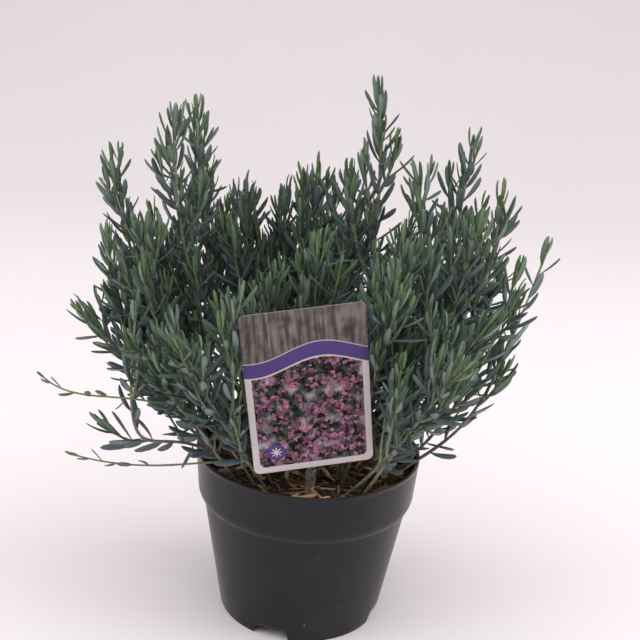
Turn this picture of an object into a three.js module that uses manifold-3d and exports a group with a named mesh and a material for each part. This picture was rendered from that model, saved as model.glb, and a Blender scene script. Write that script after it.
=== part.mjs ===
// A bog rosemary shrub in a round nursery pot, with bark mulch and a plant label on a stake.
// Millimetres, +Z up. The origin is on the floor, on the pot's axis.
import * as THREE from 'three';
import { mergeVertices } from 'three/addons/utils/BufferGeometryUtils.js';
import Module from 'manifold-3d';

const wasm = await Module();
wasm.setup();

// Points nearer than WELD are one point, and details smaller than SLIVER are merged
const WELD = 1e-3;
const SLIVER = 0.03;

// Pot
const POT_HEIGHT = 120;
const RIM_RADIUS = 77.5;
const FOOT_RADIUS = 57;
const POT_WALL = 2;
const COLLAR_FOOT_Z = 85;
const BODY_TOP_RADIUS = 71.6;
const COLLAR_STEP = 3.2;
const COLLAR_ROUND = 9;
const RIM_EDGE = 0.8;
const BASE_PLATE_Z = 8;
const POT_SIDES = 32;
const NOTCH_WIDTH = 26;
const NOTCH_HEIGHT = 7.5;
const NOTCH_CORNER = 2;
const NOTCH_DEPTH = 14;
const NOTCH_ANGLES = [-108, -18, 72, 162];
const DRAIN_RADIUS = 5;
const DRAIN_RING_RADIUS = 38;
const DRAIN_COUNT = 6;
const DRAIN_SIDES = 8;

// Soil and mulch
const GAP = 0.3;
const SOIL_INSET = 0.8;
const SOIL_TOP = 110;
const SOIL_RINGS = 4;
const SOIL_SIDES = 20;
const SOIL_RELIEF = 1.3;
const LONG_WAVE = 0.12;
const SHORT_WAVE = 0.23;
const CHIP_COUNT = 18;
const CHIP_LENGTH = 15;
const CHIP_WIDTH = 4.6;
const CHIP_THICKNESS = 2.6;
const CHIP_REACH = 60;
const CHIP_TILT = 0.5;
const CHIP_RISE = 0.6;

// Plant label: a card on a T-shaped stake, both leaning a little towards the front
const CARD_WIDTH = 76;
const CARD_HEIGHT = 112;
const CARD_THICKNESS = 0.8;
const CARD_CORNER = 4;
const CARD_CENTRE = [-2, -72.6, 190];
const CARD_TURN = THREE.MathUtils.degToRad(10);
const CARD_LEAN = THREE.MathUtils.degToRad(8);
const CARD_ROLL = THREE.MathUtils.degToRad(-8.5);
const STAKE_WIDTH = 6.5;
const STAKE_THICKNESS = 1.2;
const STAKE_RIB = 3;
const STAKE_FOOT = -107;
const STAKE_TOP = -22;
const STAKE_POINT = 12;
const STAKE_SIDE = 6.7;
const STAKE_TIP_HALF = 1;
const STAKE_CORNER = 2;
const RIB_THICKNESS = 1.2;
const RIB_SHORTER = 6;
const STAKE_HOLE_GAP = 0.4;

// Shrub
const STEM_ROOT_Z = 96;
const STEM_BASE_RADIUS = 1.7;
const HOLE_CLEARANCE = 0.75;
const STEM_TIP_RADIUS = 0.7;
const SHOOT_BASE_RADIUS = 1.05;
const SHOOT_TIP_RADIUS = 0.6;
const STEM_STEPS = 5;
const STEM_SIDES = 4;
const SHOOT_STEPS = 2;
const SHOOT_SIDES = 3;
const SHOOT_ROOT_SHARE = 0.12;
const TIP_LEAF_REACH = 13;
const LEAF_SPACING = 5.2;
const LEAF_LENGTH = 22.6;
const LEAF_WIDTH = 4.6;
const LEAF_THICKNESS = 1.1;
const LEAF_SINK = 3;
const LEAF_GIRTH = 0.38;
const LEAF_CLEARANCE = 0.45;
const OWN_LEAF_OVERLAP = 1.2;
const BARE_SHARE = 0.3;
const GOLDEN_ANGLE = THREE.MathUtils.degToRad(137.508);
const BASE_SHARE = 0.36;
const BEND_SHARE = 0.8;
const BEND_RISE = 0.42;

// Each main stem by the place of its top leaf. A row that gives no base or bend follows the fan:
// the base lies on the way from the axis to the tip, and the bend sets how soon the stem turns up.
const STEMS = [
  { name: 'tall_right', tip: [28, 10, 372], base: [9, 4], bend: [46, 12, 240], reach: 0.65 },
  { name: 'tall_inner', tip: [52, 0, 324], base: [20, -4], bend: [88, -6, 230], reach: 0.75 },
  { name: 'right_upper', tip: [93, 20, 345], base: [28, 10], bend: [90, 18, 205], reach: 0.7 },
  { name: 'right_high', tip: [113, 2, 314], base: [38, 2], bend: [114, 2, 190], reach: 0.75 },
  { name: 'right_side', tip: [124, -30, 276], base: [44, -16], bend: [112, -34, 170], reach: 0.6 },
  { name: 'right_low', tip: [157, 36, 272], base: [36, -26], bend: [103, -57, 172], turn: [104, -42, 142],
    reach: 0.3, sparse: 3.0 },
  { name: 'right_inner', tip: [98, -24, 302], base: [30, -14], bend: [86, -26, 200] },
  { name: 'front_right', tip: [72, -60, 244], base: [12, -46], bend: [72, -66, 150] },
  { name: 'front_mid', tip: [50, -36, 291], base: [16, -20], bend: [52, -40, 200] },
  { name: 'left_high', tip: [-142, 10, 320], base: [-46, 8], bend: [-119, 6, 188], reach: 0.6 },
  { name: 'left_crown', tip: [-100, 6, 350], base: [-32, -1], bend: [-94, 2, 205], reach: 0.65 },
  { name: 'left_crown_back', tip: [-88, 32, 354], base: [-28, 13], bend: [-84, 30, 205], reach: 0.65 },
  { name: 'left_mid', tip: [-53, 30, 303], base: [-16, 8], bend: [-52, 26, 200] },
  { name: 'mid_left', tip: [-28, 42, 295], base: [-8, 16], bend: [-26, 40, 200] },
  { name: 'mid_back', tip: [-6, 54, 314], base: [-1, 26], bend: [-8, 52, 210] },
  { name: 'mid_right', tip: [15, 34, 316], base: [4, 14], bend: [16, 34, 210] },
  { name: 'left_side', tip: [-112, -21, 286], base: [-36, -12], bend: [-108, -22, 178] },
  { name: 'left_out', tip: [-137, -18, 273], base: [-44, -6], bend: [-130, -15, 178], reach: 0.55 },
  { name: 'left_low', tip: [-157, -24, 227], base: [-43, -17], bend: [-118, -24, 176], reach: 0.8 },
  { name: 'left_rise', tip: [-110, -52, 240], base: [-36, -28], bend: [-92, -50, 188],
    turn: [-122, -62, 78], reach: 0.45, sparse: 1.6 },
  { name: 'trail_low', tip: [-165, -50, 129], base: [-30, -20], bend: [-35, -50, 150],
    turn: [-80, -50, 108], trailing: true },
  { name: 'trail_high', tip: [-167, -92, 204], base: [-28, -42], bend: [-72, -70, 211],
    turn: [-127, -92, 168], trailing: true },
  { name: 'back_1', tip: [132, 62, 248], base: [40, 19], bend: [100, 47, 178] },
  { name: 'back_2', tip: [98, 94, 272], base: [32, 30], bend: [78, 74, 180] },
  { name: 'back_3', tip: [52, 106, 228], base: [17, 38], bend: [40, 86, 168] },
  { name: 'back_4', tip: [4, 110, 266] },
  { name: 'back_5', tip: [-46, 101, 244] },
  { name: 'back_6', tip: [-92, 98, 292] },
  { name: 'back_7', tip: [-130, 62, 262], base: [-40, 20], bend: [-102, 49, 180] },
  { name: 'back_8', tip: [62, 74, 246] },
  { name: 'back_9', tip: [24, 88, 272] },
  { name: 'back_10', tip: [-26, 88, 262] },
  { name: 'back_11', tip: [-66, 72, 264] },
  { name: 'front_1', tip: [-112, -84, 226], base: [-38, -38], bend: [-80, -66, 174] },
  { name: 'front_2', tip: [-84, -108, 238], base: [-18, -45], bend: [-60, -80, 178] },
  { name: 'front_3', tip: [-52, -86, 256], base: [-18, -34] },
  { name: 'front_4', tip: [90, -110, 230], base: [32, -45], bend: [68, -84, 190] },
  { name: 'front_5', tip: [112, -62, 250], base: [29, -34], bend: [80, -56, 196] },
  { name: 'front_6', tip: [48, -70, 272], base: [20, -32] },
  { name: 'behind_label_1', tip: [-30, -44, 264], base: [-10, -22] },
  { name: 'behind_label_2', tip: [-2, -36, 282], base: [2, -14] },
];

// Side shoots of one stem: the place along it, in the order in which they are placed
const SHOOT_PLACES = [0.47, 0.66, 0.83, 0.38, 0.56, 0.75];
const SHOOTS_MODELLED = 2;
const SHOOT_JITTER = 0.06;
const SHOOT_SPREAD = THREE.MathUtils.degToRad(34);
const SHOOT_BELOW_TIP = 0.85;
const SHOOT_SHORTEST = 24;
const SHOOT_LONGEST = 92;
const SHOOT_KNEE = 0.42;
const SHOOT_RISE = 0.6;
const SHOOT_CLEARANCE = 6;
const SHOOT_TRIES = 7;
const SHOOT_TRY_TURN = 0.37;
const SHOOT_BARE_SHARE = 0.2;
const CLEAR_MARGIN = 3;
const CARD_VIEW_DEPTH = 60;
const CHIP_TOPS = 4;

// A leaf stands steep and short at a stem's tip, and spreads out and grows away from it
const YOUTH_REACH = 22;
const SPREAD_OLD = 58;
const SPREAD_YOUNG = 16;
const SPREAD_JITTER = 16;
const YOUNG_SHORTER = 0.32;
const LEAF_WIDEST = 0.45;
const LEAF_TIP_HALF = 0.22;
const TRAILING_SIZE = 0.5;
const TRAILING_BARE_SHARE = 0.45;

const black = new THREE.MeshStandardMaterial({ color: 0x2b2d30, roughness: 0.5, metalness: 0 });
const mulchBrown = new THREE.MeshStandardMaterial({ color: 0x3b2618, roughness: 0.95, metalness: 0 });
const cardStock = new THREE.MeshStandardMaterial({ color: 0xd9d4da, roughness: 0.45, metalness: 0 });
const clearPlastic = new THREE.MeshStandardMaterial({ color: 0xc9d0d4, roughness: 0.2, metalness: 0 });
const leafGreen = new THREE.MeshStandardMaterial({ color: 0x4a6b5e, roughness: 0.6, metalness: 0 });

// The same number every time for the same seed, between 0 and 1
function noise(seed) {
  const wave = Math.sin(seed * 12.9898 + 78.233) * 43758.5453;
  return wave - Math.floor(wave);
}

function toSolid(geometry, matrix = null) {
  const bare = geometry.clone();
  bare.deleteAttribute('normal');
  bare.deleteAttribute('uv');
  if (matrix) bare.applyMatrix4(matrix);
  const merged = mergeVertices(bare, WELD);
  return new wasm.Manifold(new wasm.Mesh({
    numProp: 3,
    vertProperties: new Float32Array(merged.attributes.position.array),
    triVerts: new Uint32Array(merged.index.array),
  }));
}

function toGeometry(solid) {
  const mesh = solid.getMesh();
  const geometry = new THREE.BufferGeometry();
  geometry.setAttribute('position', new THREE.BufferAttribute(new Float32Array(mesh.vertProperties), 3));
  geometry.setIndex(new THREE.BufferAttribute(new Uint32Array(mesh.triVerts), 1));
  geometry.computeVertexNormals();
  return geometry;
}

// The largest of the bodies that a join or cut leaves. Slivers are merged and loose scraps dropped.
function largestBody(solid) {
  const larger = (one, other) => (other.volume() > one.volume() ? other : one);
  const largest = (whole) => whole.decompose().reduce(larger);
  const welded = toSolid(toGeometry(largest(solid.simplify(SLIVER))));
  return largest(welded);
}

function named(name, geometry, material) {
  const mesh = new THREE.Mesh(geometry, material);
  mesh.name = name;
  return mesh;
}

// Closed solid from points and the triangles between them
function closedGeometry(points, triangles) {
  const geometry = new THREE.BufferGeometry();
  const places = points.flatMap((p) => [p.x, p.y, p.z]);
  geometry.setAttribute('position', new THREE.Float32BufferAttribute(places, 3));
  geometry.setIndex(triangles.flat());
  return geometry;
}

function potRadius(z) {
  const share = z / COLLAR_FOOT_Z;
  return THREE.MathUtils.lerp(FOOT_RADIUS, BODY_TOP_RADIUS, share);
}

function collarRadius(z) {
  const share = (z - COLLAR_FOOT_Z) / (POT_HEIGHT - COLLAR_FOOT_Z);
  return THREE.MathUtils.lerp(BODY_TOP_RADIUS + COLLAR_STEP, RIM_RADIUS, share);
}

function makePot() {
  const roundZ = COLLAR_FOOT_Z + COLLAR_ROUND;
  const plateTop = BASE_PLATE_Z + POT_WALL;
  const profile = [
    [0, BASE_PLATE_Z],
    [potRadius(BASE_PLATE_Z) - POT_WALL, BASE_PLATE_Z],
    [FOOT_RADIUS - POT_WALL, 0],
    [FOOT_RADIUS, 0],
    [BODY_TOP_RADIUS, COLLAR_FOOT_Z],
    [BODY_TOP_RADIUS + COLLAR_STEP * 0.7, COLLAR_FOOT_Z + COLLAR_ROUND * 0.27],
    [collarRadius(roundZ), roundZ],
    [RIM_RADIUS, POT_HEIGHT - RIM_EDGE],
    [RIM_RADIUS - RIM_EDGE, POT_HEIGHT],
    [RIM_RADIUS - POT_WALL, POT_HEIGHT],
    [collarRadius(roundZ) - POT_WALL, roundZ],
    [BODY_TOP_RADIUS - POT_WALL, COLLAR_FOOT_Z],
    [potRadius(plateTop) - POT_WALL, plateTop],
    [0, plateTop],
  ];
  const lathe = new THREE.LatheGeometry(profile.map(([r, z]) => new THREE.Vector2(r, z)), POT_SIDES);
  const upright = new THREE.Matrix4().makeRotationX(Math.PI / 2);
  let pot = toSolid(lathe, upright);
  for (const angle of NOTCH_ANGLES) {
    pot = pot.subtract(notchCutter(THREE.MathUtils.degToRad(angle)));
  }
  const plateMiddle = BASE_PLATE_Z + POT_WALL / 2;
  for (let i = 0; i < DRAIN_COUNT; i += 1) {
    const turn = (i * 2 * Math.PI) / DRAIN_COUNT;
    const hole = new THREE.CylinderGeometry(DRAIN_RADIUS, DRAIN_RADIUS, POT_WALL * 3, DRAIN_SIDES);
    const place = new THREE.Matrix4().makeTranslation(
      DRAIN_RING_RADIUS * Math.cos(turn), DRAIN_RING_RADIUS * Math.sin(turn), plateMiddle);
    pot = pot.subtract(toSolid(hole, place.multiply(upright)));
  }
  return named('pot', toGeometry(pot), black);
}

// A notch in the foot, narrower towards its top and with cut corners there
function notchCutter(angle) {
  const half = NOTCH_WIDTH / 2;
  const outline = new THREE.Shape();
  outline.moveTo(-half, -1);
  outline.lineTo(half, -1);
  outline.lineTo(half - NOTCH_CORNER, NOTCH_HEIGHT - NOTCH_CORNER);
  outline.lineTo(half - 2 * NOTCH_CORNER, NOTCH_HEIGHT);
  outline.lineTo(2 * NOTCH_CORNER - half, NOTCH_HEIGHT);
  outline.lineTo(NOTCH_CORNER - half, NOTCH_HEIGHT - NOTCH_CORNER);
  const block = new THREE.ExtrudeGeometry(outline, { depth: NOTCH_DEPTH, bevelEnabled: false });
  const standUp = new THREE.Matrix4().makeRotationX(Math.PI / 2);
  const moveOut = new THREE.Matrix4().makeTranslation(0, NOTCH_DEPTH / 2 - FOOT_RADIUS, 0);
  const turn = new THREE.Matrix4().makeRotationZ(angle + Math.PI / 2);
  return toSolid(block, turn.multiply(moveOut).multiply(standUp));
}

// The soil's top is uneven: two long waves across each other and a shorter slanting one
function soilHeight(x, y) {
  const across = Math.sin(x * LONG_WAVE + 1.3) * Math.cos(y * LONG_WAVE + 0.4);
  const slanting = 0.6 * Math.sin((x - y) * SHORT_WAVE);
  return SOIL_TOP + SOIL_RELIEF * (across + slanting);
}

function makeSoilBody() {
  const edgeTop = collarRadius(SOIL_TOP) - POT_WALL - SOIL_INSET;
  const aboveRound = COLLAR_FOOT_Z + COLLAR_ROUND + 1;
  const levels = [
    [potRadius(BASE_PLATE_Z + POT_WALL) - POT_WALL - SOIL_INSET, BASE_PLATE_Z + POT_WALL + GAP],
    [BODY_TOP_RADIUS - POT_WALL - SOIL_INSET, COLLAR_FOOT_Z],
    [collarRadius(aboveRound) - POT_WALL - SOIL_INSET, aboveRound],
  ];
  const points = [];
  const ringPoint = (radius, side, z) => {
    const turn = (side * 2 * Math.PI) / SOIL_SIDES;
    const x = radius * Math.cos(turn);
    const y = radius * Math.sin(turn);
    return new THREE.Vector3(x, y, z ?? soilHeight(x, y));
  };
  levels.forEach(([radius, z]) => {
    for (let side = 0; side < SOIL_SIDES; side += 1) points.push(ringPoint(radius, side, z));
  });
  for (let ring = SOIL_RINGS; ring > 0; ring -= 1) {
    for (let side = 0; side < SOIL_SIDES; side += 1) {
      points.push(ringPoint((edgeTop * ring) / SOIL_RINGS, side));
    }
  }
  const rings = points.length / SOIL_SIDES;
  const bottom = points.push(new THREE.Vector3(0, 0, levels[0][1])) - 1;
  const top = points.push(new THREE.Vector3(0, 0, soilHeight(0, 0))) - 1;
  const triangles = [];
  for (let side = 0; side < SOIL_SIDES; side += 1) {
    const next = (side + 1) % SOIL_SIDES;
    triangles.push([bottom, next, side]);
    for (let ring = 0; ring < rings - 1; ring += 1) {
      const low = ring * SOIL_SIDES;
      const high = low + SOIL_SIDES;
      triangles.push([low + side, low + next, high + next], [low + side, high + next, high + side]);
    }
    const last = (rings - 1) * SOIL_SIDES;
    triangles.push([last + side, last + next, top]);
  }
  return toSolid(closedGeometry(points, triangles));
}

// Bark chips lie half sunk in the soil, turned every way
function makeChips() {
  const chips = [];
  for (let i = 0; i < CHIP_COUNT; i += 1) {
    const radius = CHIP_REACH * Math.sqrt((i + 0.5) / CHIP_COUNT);
    const x = radius * Math.cos(i * GOLDEN_ANGLE);
    const y = radius * Math.sin(i * GOLDEN_ANGLE);
    const length = CHIP_LENGTH * (0.6 + 0.5 * noise(i + 11));
    const width = CHIP_WIDTH * (0.7 + 0.6 * noise(i + 71));
    const pitch = CHIP_TILT * (noise(i + 31) - 0.5);
    const roll = CHIP_TILT * (noise(i + 51) - 0.5);
    const turn = new THREE.Euler(pitch, roll, 2 * Math.PI * noise(i + 91), 'ZYX');
    const z = soilHeight(x, y) + CHIP_RISE;
    const place = new THREE.Matrix4().makeRotationFromEuler(turn).setPosition(x, y, z);
    chips.push(toSolid(new THREE.BoxGeometry(length, width, CHIP_THICKNESS), place));
  }
  return chips;
}

function makeSoil(cutters) {
  const rough = wasm.Manifold.union([makeSoilBody(), ...makeChips()]);
  const trimmed = rough.subtract(wasm.Manifold.union(cutters));
  return named('soil', toGeometry(largestBody(trimmed)), mulchBrown);
}

const cardTurned = new THREE.Euler(CARD_LEAN, CARD_ROLL, CARD_TURN, 'ZXY');

function makeCard() {
  const w = CARD_WIDTH / 2;
  const h = CARD_HEIGHT / 2;
  const r = CARD_CORNER;
  const outline = new THREE.Shape();
  outline.moveTo(r - w, -h);
  outline.lineTo(w - r, -h);
  outline.absarc(w - r, r - h, r, -Math.PI / 2, 0);
  outline.lineTo(w, h - r);
  outline.absarc(w - r, h - r, r, 0, Math.PI / 2);
  outline.lineTo(r - w, h);
  outline.absarc(r - w, h - r, r, Math.PI / 2, Math.PI);
  outline.lineTo(-w, r - h);
  outline.absarc(r - w, r - h, r, Math.PI, 1.5 * Math.PI);
  const options = { depth: CARD_THICKNESS, bevelEnabled: false, curveSegments: 3 };
  const plate = new THREE.ExtrudeGeometry(outline, options);
  plate.applyMatrix4(new THREE.Matrix4().makeRotationX(Math.PI / 2).setPosition(0, CARD_THICKNESS / 2, 0));
  const card = named('label_card', toGeometry(toSolid(plate)), cardStock);
  card.position.set(...CARD_CENTRE);
  card.rotation.copy(cardTurned);
  return card;
}

// The stake in the card's frame before the card's roll, wider by grow on every side
function stakeGeometry(grow) {
  const half = STAKE_WIDTH / 2 + grow;
  const foot = STAKE_FOOT - grow;
  const top = STAKE_TOP + grow;
  const outline = new THREE.Shape();
  outline.moveTo(-STAKE_TIP_HALF - grow, foot);
  outline.lineTo(STAKE_TIP_HALF + grow, foot);
  outline.lineTo(half, foot + STAKE_POINT);
  outline.lineTo(half, top - STAKE_CORNER);
  outline.lineTo(half - STAKE_CORNER, top);
  outline.lineTo(STAKE_CORNER - half, top);
  outline.lineTo(-half, top - STAKE_CORNER);
  outline.lineTo(-half, foot + STAKE_POINT);
  const front = CARD_THICKNESS / 2 + GAP - grow;
  const back = front + STAKE_THICKNESS + 2 * grow;
  const plate = new THREE.ExtrudeGeometry(outline, { depth: back - front, bevelEnabled: false });
  plate.applyMatrix4(new THREE.Matrix4().makeRotationX(Math.PI / 2).setPosition(STAKE_SIDE, back, 0));
  const ribDepth = STAKE_RIB + STAKE_THICKNESS / 2 + grow;
  const rib = new THREE.BoxGeometry(RIB_THICKNESS + 2 * grow, ribDepth, top - foot - RIB_SHORTER);
  rib.translate(STAKE_SIDE, back - grow - STAKE_THICKNESS / 2 + ribDepth / 2, (top + foot) / 2);
  return toGeometry(toSolid(plate).add(toSolid(rib)));
}

const stakeTurned = new THREE.Euler(CARD_LEAN, 0, CARD_TURN, 'ZXY');

function makeStake() {
  const stake = named('label_stake', stakeGeometry(0), clearPlastic);
  stake.position.set(...CARD_CENTRE);
  stake.rotation.copy(stakeTurned);
  return stake;
}

function stakeHole() {
  const place = new THREE.Matrix4().makeRotationFromEuler(stakeTurned).setPosition(...CARD_CENTRE);
  return toSolid(stakeGeometry(STAKE_HOLE_GAP), place);
}

const Y_AXIS = new THREE.Vector3(0, 1, 0);
const UP = new THREE.Vector3(0, 0, 1);

// Two directions square to a stem at a point of it, always turned the same way about the stem
function sideways(tangent) {
  const first = new THREE.Vector3().crossVectors(Y_AXIS, tangent).normalize();
  const second = new THREE.Vector3().crossVectors(tangent, first);
  return (angle) => first.clone().multiplyScalar(Math.cos(angle)).addScaledVector(second, Math.sin(angle));
}

function stemCurve({ tip, base, bend, turn }) {
  const foot = base ?? [tip[0] * BASE_SHARE, tip[1] * BASE_SHARE];
  const start = new THREE.Vector3(foot[0], foot[1], STEM_ROOT_Z);
  const rise = STEM_ROOT_Z + BEND_RISE * (tip[2] - STEM_ROOT_Z);
  const knee = new THREE.Vector3(...(bend ?? [tip[0] * BEND_SHARE, tip[1] * BEND_SHARE, rise]));
  const last = turn ? new THREE.Vector3(...turn) : knee;
  const top = new THREE.Vector3(...tip);
  const end = top.addScaledVector(new THREE.Vector3().subVectors(top, last).normalize(), -TIP_LEAF_REACH);
  if (turn) return new THREE.CubicBezierCurve3(start, knee, last, end);
  return new THREE.QuadraticBezierCurve3(start, knee, end);
}

// The sum of directions, each times its weight
function blend(...weighted) {
  const add = (sum, [direction, weight]) => sum.addScaledVector(direction, weight);
  return weighted.reduce(add, new THREE.Vector3());
}

// A side shoot leaves its stem at an angle and then turns up
function shootCurve(stem, place, azimuth, length) {
  const start = stem.getPointAt(place);
  const tangent = stem.getTangentAt(place);
  const out = sideways(tangent)(azimuth);
  const leaving = blend([tangent, Math.cos(SHOOT_SPREAD)], [out, Math.sin(SHOOT_SPREAD)]);
  const knee = start.clone().addScaledVector(leaving, SHOOT_KNEE * length);
  const rising = blend([tangent, 0.45], [UP, 0.5], [out, 0.12]).normalize();
  const end = knee.clone().addScaledVector(rising, SHOOT_RISE * length);
  return new THREE.QuadraticBezierCurve3(start, knee, end);
}

function samplePoints(curve, from = 0) {
  const points = [];
  for (let i = 0; i <= 12; i += 1) points.push(curve.getPointAt(from + ((1 - from) * i) / 12));
  return points;
}

const cardPlace = new THREE.Matrix4().makeRotationFromEuler(cardTurned).setPosition(...CARD_CENTRE);
const toCard = cardPlace.clone().invert();
const stakePlace = new THREE.Matrix4().makeRotationFromEuler(stakeTurned).setPosition(...CARD_CENTRE);
const toStake = stakePlace.clone().invert();

// Whether a point keeps its distance from the pot's rim, the soil and the label
function isClear(point) {
  const margin = CLEAR_MARGIN;
  const radius = Math.hypot(point.x, point.y);
  const atRim = radius > RIM_RADIUS - POT_WALL - 1 - margin && radius < RIM_RADIUS + margin;
  if (atRim && point.z < POT_HEIGHT + margin) return false;
  if (radius < RIM_RADIUS && point.z < SOIL_TOP + CHIP_TOPS + margin) return false;
  const card = point.clone().applyMatrix4(toCard);
  const overCard = Math.abs(card.x) < CARD_WIDTH / 2 + margin && Math.abs(card.z) < CARD_HEIGHT / 2 + margin;
  if (overCard && card.y < margin + 1 && card.y > -CARD_VIEW_DEPTH) return false;
  const stake = point.clone().applyMatrix4(toStake);
  const overStake = Math.abs(stake.x - STAKE_SIDE) < STAKE_WIDTH / 2 + margin && stake.z < STAKE_TOP + margin;
  return !overStake || Math.abs(stake.y - STAKE_RIB / 2) > STAKE_RIB + margin;
}

// The shoot of one order on one stem, at the first azimuth where it keeps clear of the rest
function growShoot(stem, order, taken) {
  const seed = stem.index * 40 + order;
  const place = SHOOT_PLACES[order] + SHOOT_JITTER * (noise(seed) - 0.5);
  const stemLength = stem.curve.getLength();
  const wanted = stemLength * (0.12 + 0.5 * (1 - place)) * (0.8 + 0.4 * noise(seed + 7));
  const belowTip = SHOOT_BELOW_TIP * stemLength * (1 - place);
  const reached = Math.min(wanted, belowTip) * (stem.reach ?? 1);
  const length = THREE.MathUtils.clamp(reached, SHOOT_SHORTEST, SHOOT_LONGEST);
  const keepsClear = (point) => isClear(point) && taken.every((others, owner) => {
    const distance = owner === stem.index ? 1 : SHOOT_CLEARANCE;
    return others.every((other) => other.distanceTo(point) > distance);
  });
  for (let attempt = 0; attempt < SHOOT_TRIES; attempt += 1) {
    const azimuth = (stem.index * 2 + order + attempt * SHOOT_TRY_TURN) * GOLDEN_ANGLE;
    const curve = shootCurve(stem.curve, place, azimuth, length);
    const points = samplePoints(curve, 0.25);
    if (points.every(keepsClear)) return { curve, order, points };
  }
  return null;
}

function growWood() {
  const stems = STEMS.map((row, index) => ({ ...row, index, curve: stemCurve(row), shoots: [] }));
  const taken = stems.map((stem) => samplePoints(stem.curve));
  SHOOT_PLACES.forEach((_, order) => {
    stems.filter((stem) => !stem.trailing).forEach((stem) => {
      const shoot = growShoot(stem, order, taken);
      if (shoot) {
        stem.shoots.push(shoot);
        taken[stem.index].push(...shoot.points);
      }
    });
  });
  return stems;
}

// A closed tube along a curve that narrows to its end. Its first ring stands at rootShare, and
// before that it is a pyramid from the curve's start, so that a shoot's root sinks into its stem.
function taperedTube(curve, rootShare, startRadius, endRadius, steps, sides) {
  const points = [];
  const triangles = [];
  for (let step = 0; step <= steps; step += 1) {
    const share = rootShare + ((1 - rootShare) * step) / steps;
    const centre = curve.getPointAt(share);
    const around = sideways(curve.getTangentAt(share));
    const radius = THREE.MathUtils.lerp(startRadius, endRadius, step / steps);
    for (let side = 0; side < sides; side += 1) {
      points.push(centre.clone().addScaledVector(around((side * 2 * Math.PI) / sides), radius));
    }
  }
  const first = points.push(curve.getPointAt(0)) - 1;
  const last = points.push(curve.getPointAt(1)) - 1;
  for (let side = 0; side < sides; side += 1) {
    const next = (side + 1) % sides;
    triangles.push([first, next, side]);
    for (let step = 0; step < steps; step += 1) {
      const low = step * sides;
      const high = low + sides;
      triangles.push([low + side, low + next, high + next], [low + side, high + next, high + side]);
    }
    triangles.push([last, steps * sides + side, steps * sides + next]);
  }
  return toSolid(closedGeometry(points, triangles));
}

// A leaf is a thin closed blade: pointed root, widest before its middle, blunt tip, keel below
function leafSolid(leaf) {
  const { root, along, face, length, width } = leaf;
  const across = new THREE.Vector3().crossVectors(along, face);
  const at = (share, side, drop) => root.clone().addScaledVector(along, share * length)
    .addScaledVector(across, side * width).addScaledVector(face, -drop * LEAF_THICKNESS);
  const points = [
    at(0, 0, 0), at(LEAF_WIDEST, 0.5, 0), at(LEAF_WIDEST, -0.5, 0), at(LEAF_WIDEST, 0, 1),
    at(1, LEAF_TIP_HALF, 0), at(1, -LEAF_TIP_HALF, 0),
  ];
  const triangles = [
    [0, 1, 2], [2, 1, 4], [2, 4, 5],
    [0, 3, 1], [3, 4, 1],
    [0, 2, 3], [2, 5, 3],
    [3, 5, 4],
  ];
  return toSolid(closedGeometry(points, triangles));
}

// Where the leaves of one stem or shoot stand, from its lowest leaf to its tip
function leavesAlong(curve, seedStart, bareShare, scale, sparse = 1) {
  const length = curve.getLength();
  const topShare = 1 - LEAF_SINK / length;
  const count = Math.floor((length * (1 - bareShare)) / (LEAF_SPACING * sparse));
  const leaves = [];
  for (let i = 0; i <= count; i += 1) {
    const seed = seedStart + i;
    const share = bareShare + ((topShare - bareShare) * i) / count;
    const toTip = (1 - share) * length;
    const youth = Math.exp(-toTip / YOUTH_REACH);
    const tangent = curve.getTangentAt(share);
    const out = sideways(tangent)(i * GOLDEN_ANGLE + noise(seedStart + 0.5) * 2 * Math.PI);
    const usual = THREE.MathUtils.lerp(SPREAD_OLD, SPREAD_YOUNG, youth);
    const spread = THREE.MathUtils.degToRad(usual + SPREAD_JITTER * (noise(seed + 0.25) - 0.5));
    const along = blend([tangent, Math.cos(spread)], [out, Math.sin(spread)]);
    const face = blend([tangent, Math.sin(spread)], [out, -Math.cos(spread)]);
    const size = scale * (0.85 + 0.3 * noise(seed + 0.75)) * (1 - YOUNG_SHORTER * youth);
    leaves.push({
      root: curve.getPointAt(share), along, face, length: LEAF_LENGTH * size,
      width: LEAF_WIDTH * Math.sqrt(size * scale),
    });
  }
  return leaves;
}

// The shortest distance between the stretches a to b and c to d
function segmentDistance(a, b, c, d) {
  const u = b.clone().sub(a);
  const v = d.clone().sub(c);
  const w = a.clone().sub(c);
  const bottom = u.dot(u) * v.dot(v) - u.dot(v) ** 2;
  const clamped = (value) => THREE.MathUtils.clamp(value, 0, 1);
  let s = bottom > 1e-9 ? clamped((u.dot(v) * v.dot(w) - v.dot(v) * u.dot(w)) / bottom) : 0;
  const t = clamped((u.dot(v) * s + v.dot(w)) / v.dot(v));
  s = clamped((u.dot(v) * t - u.dot(w)) / u.dot(u));
  return a.clone().addScaledVector(u, s).distanceTo(c.clone().addScaledVector(v, t));
}

// Rods with round ends that stand for a stem's wood in the leaves' test for room
function woodRods(stem) {
  const rodsAlong = (curve, startRadius, endRadius, steps) => Array.from({ length: steps }, (_, i) => ({
    owner: stem.index,
    a: curve.getPointAt(i / steps),
    b: curve.getPointAt((i + 1) / steps),
    radius: THREE.MathUtils.lerp(startRadius, endRadius, i / steps),
    wood: true,
  }));
  const shoots = stem.shoots.slice(0, SHOOTS_MODELLED);
  return [
    ...rodsAlong(stem.curve, STEM_BASE_RADIUS, STEM_TIP_RADIUS, 10),
    ...shoots.flatMap(({ curve }) => rodsAlong(curve, SHOOT_BASE_RADIUS, SHOOT_TIP_RADIUS, 4)),
  ];
}

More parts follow.
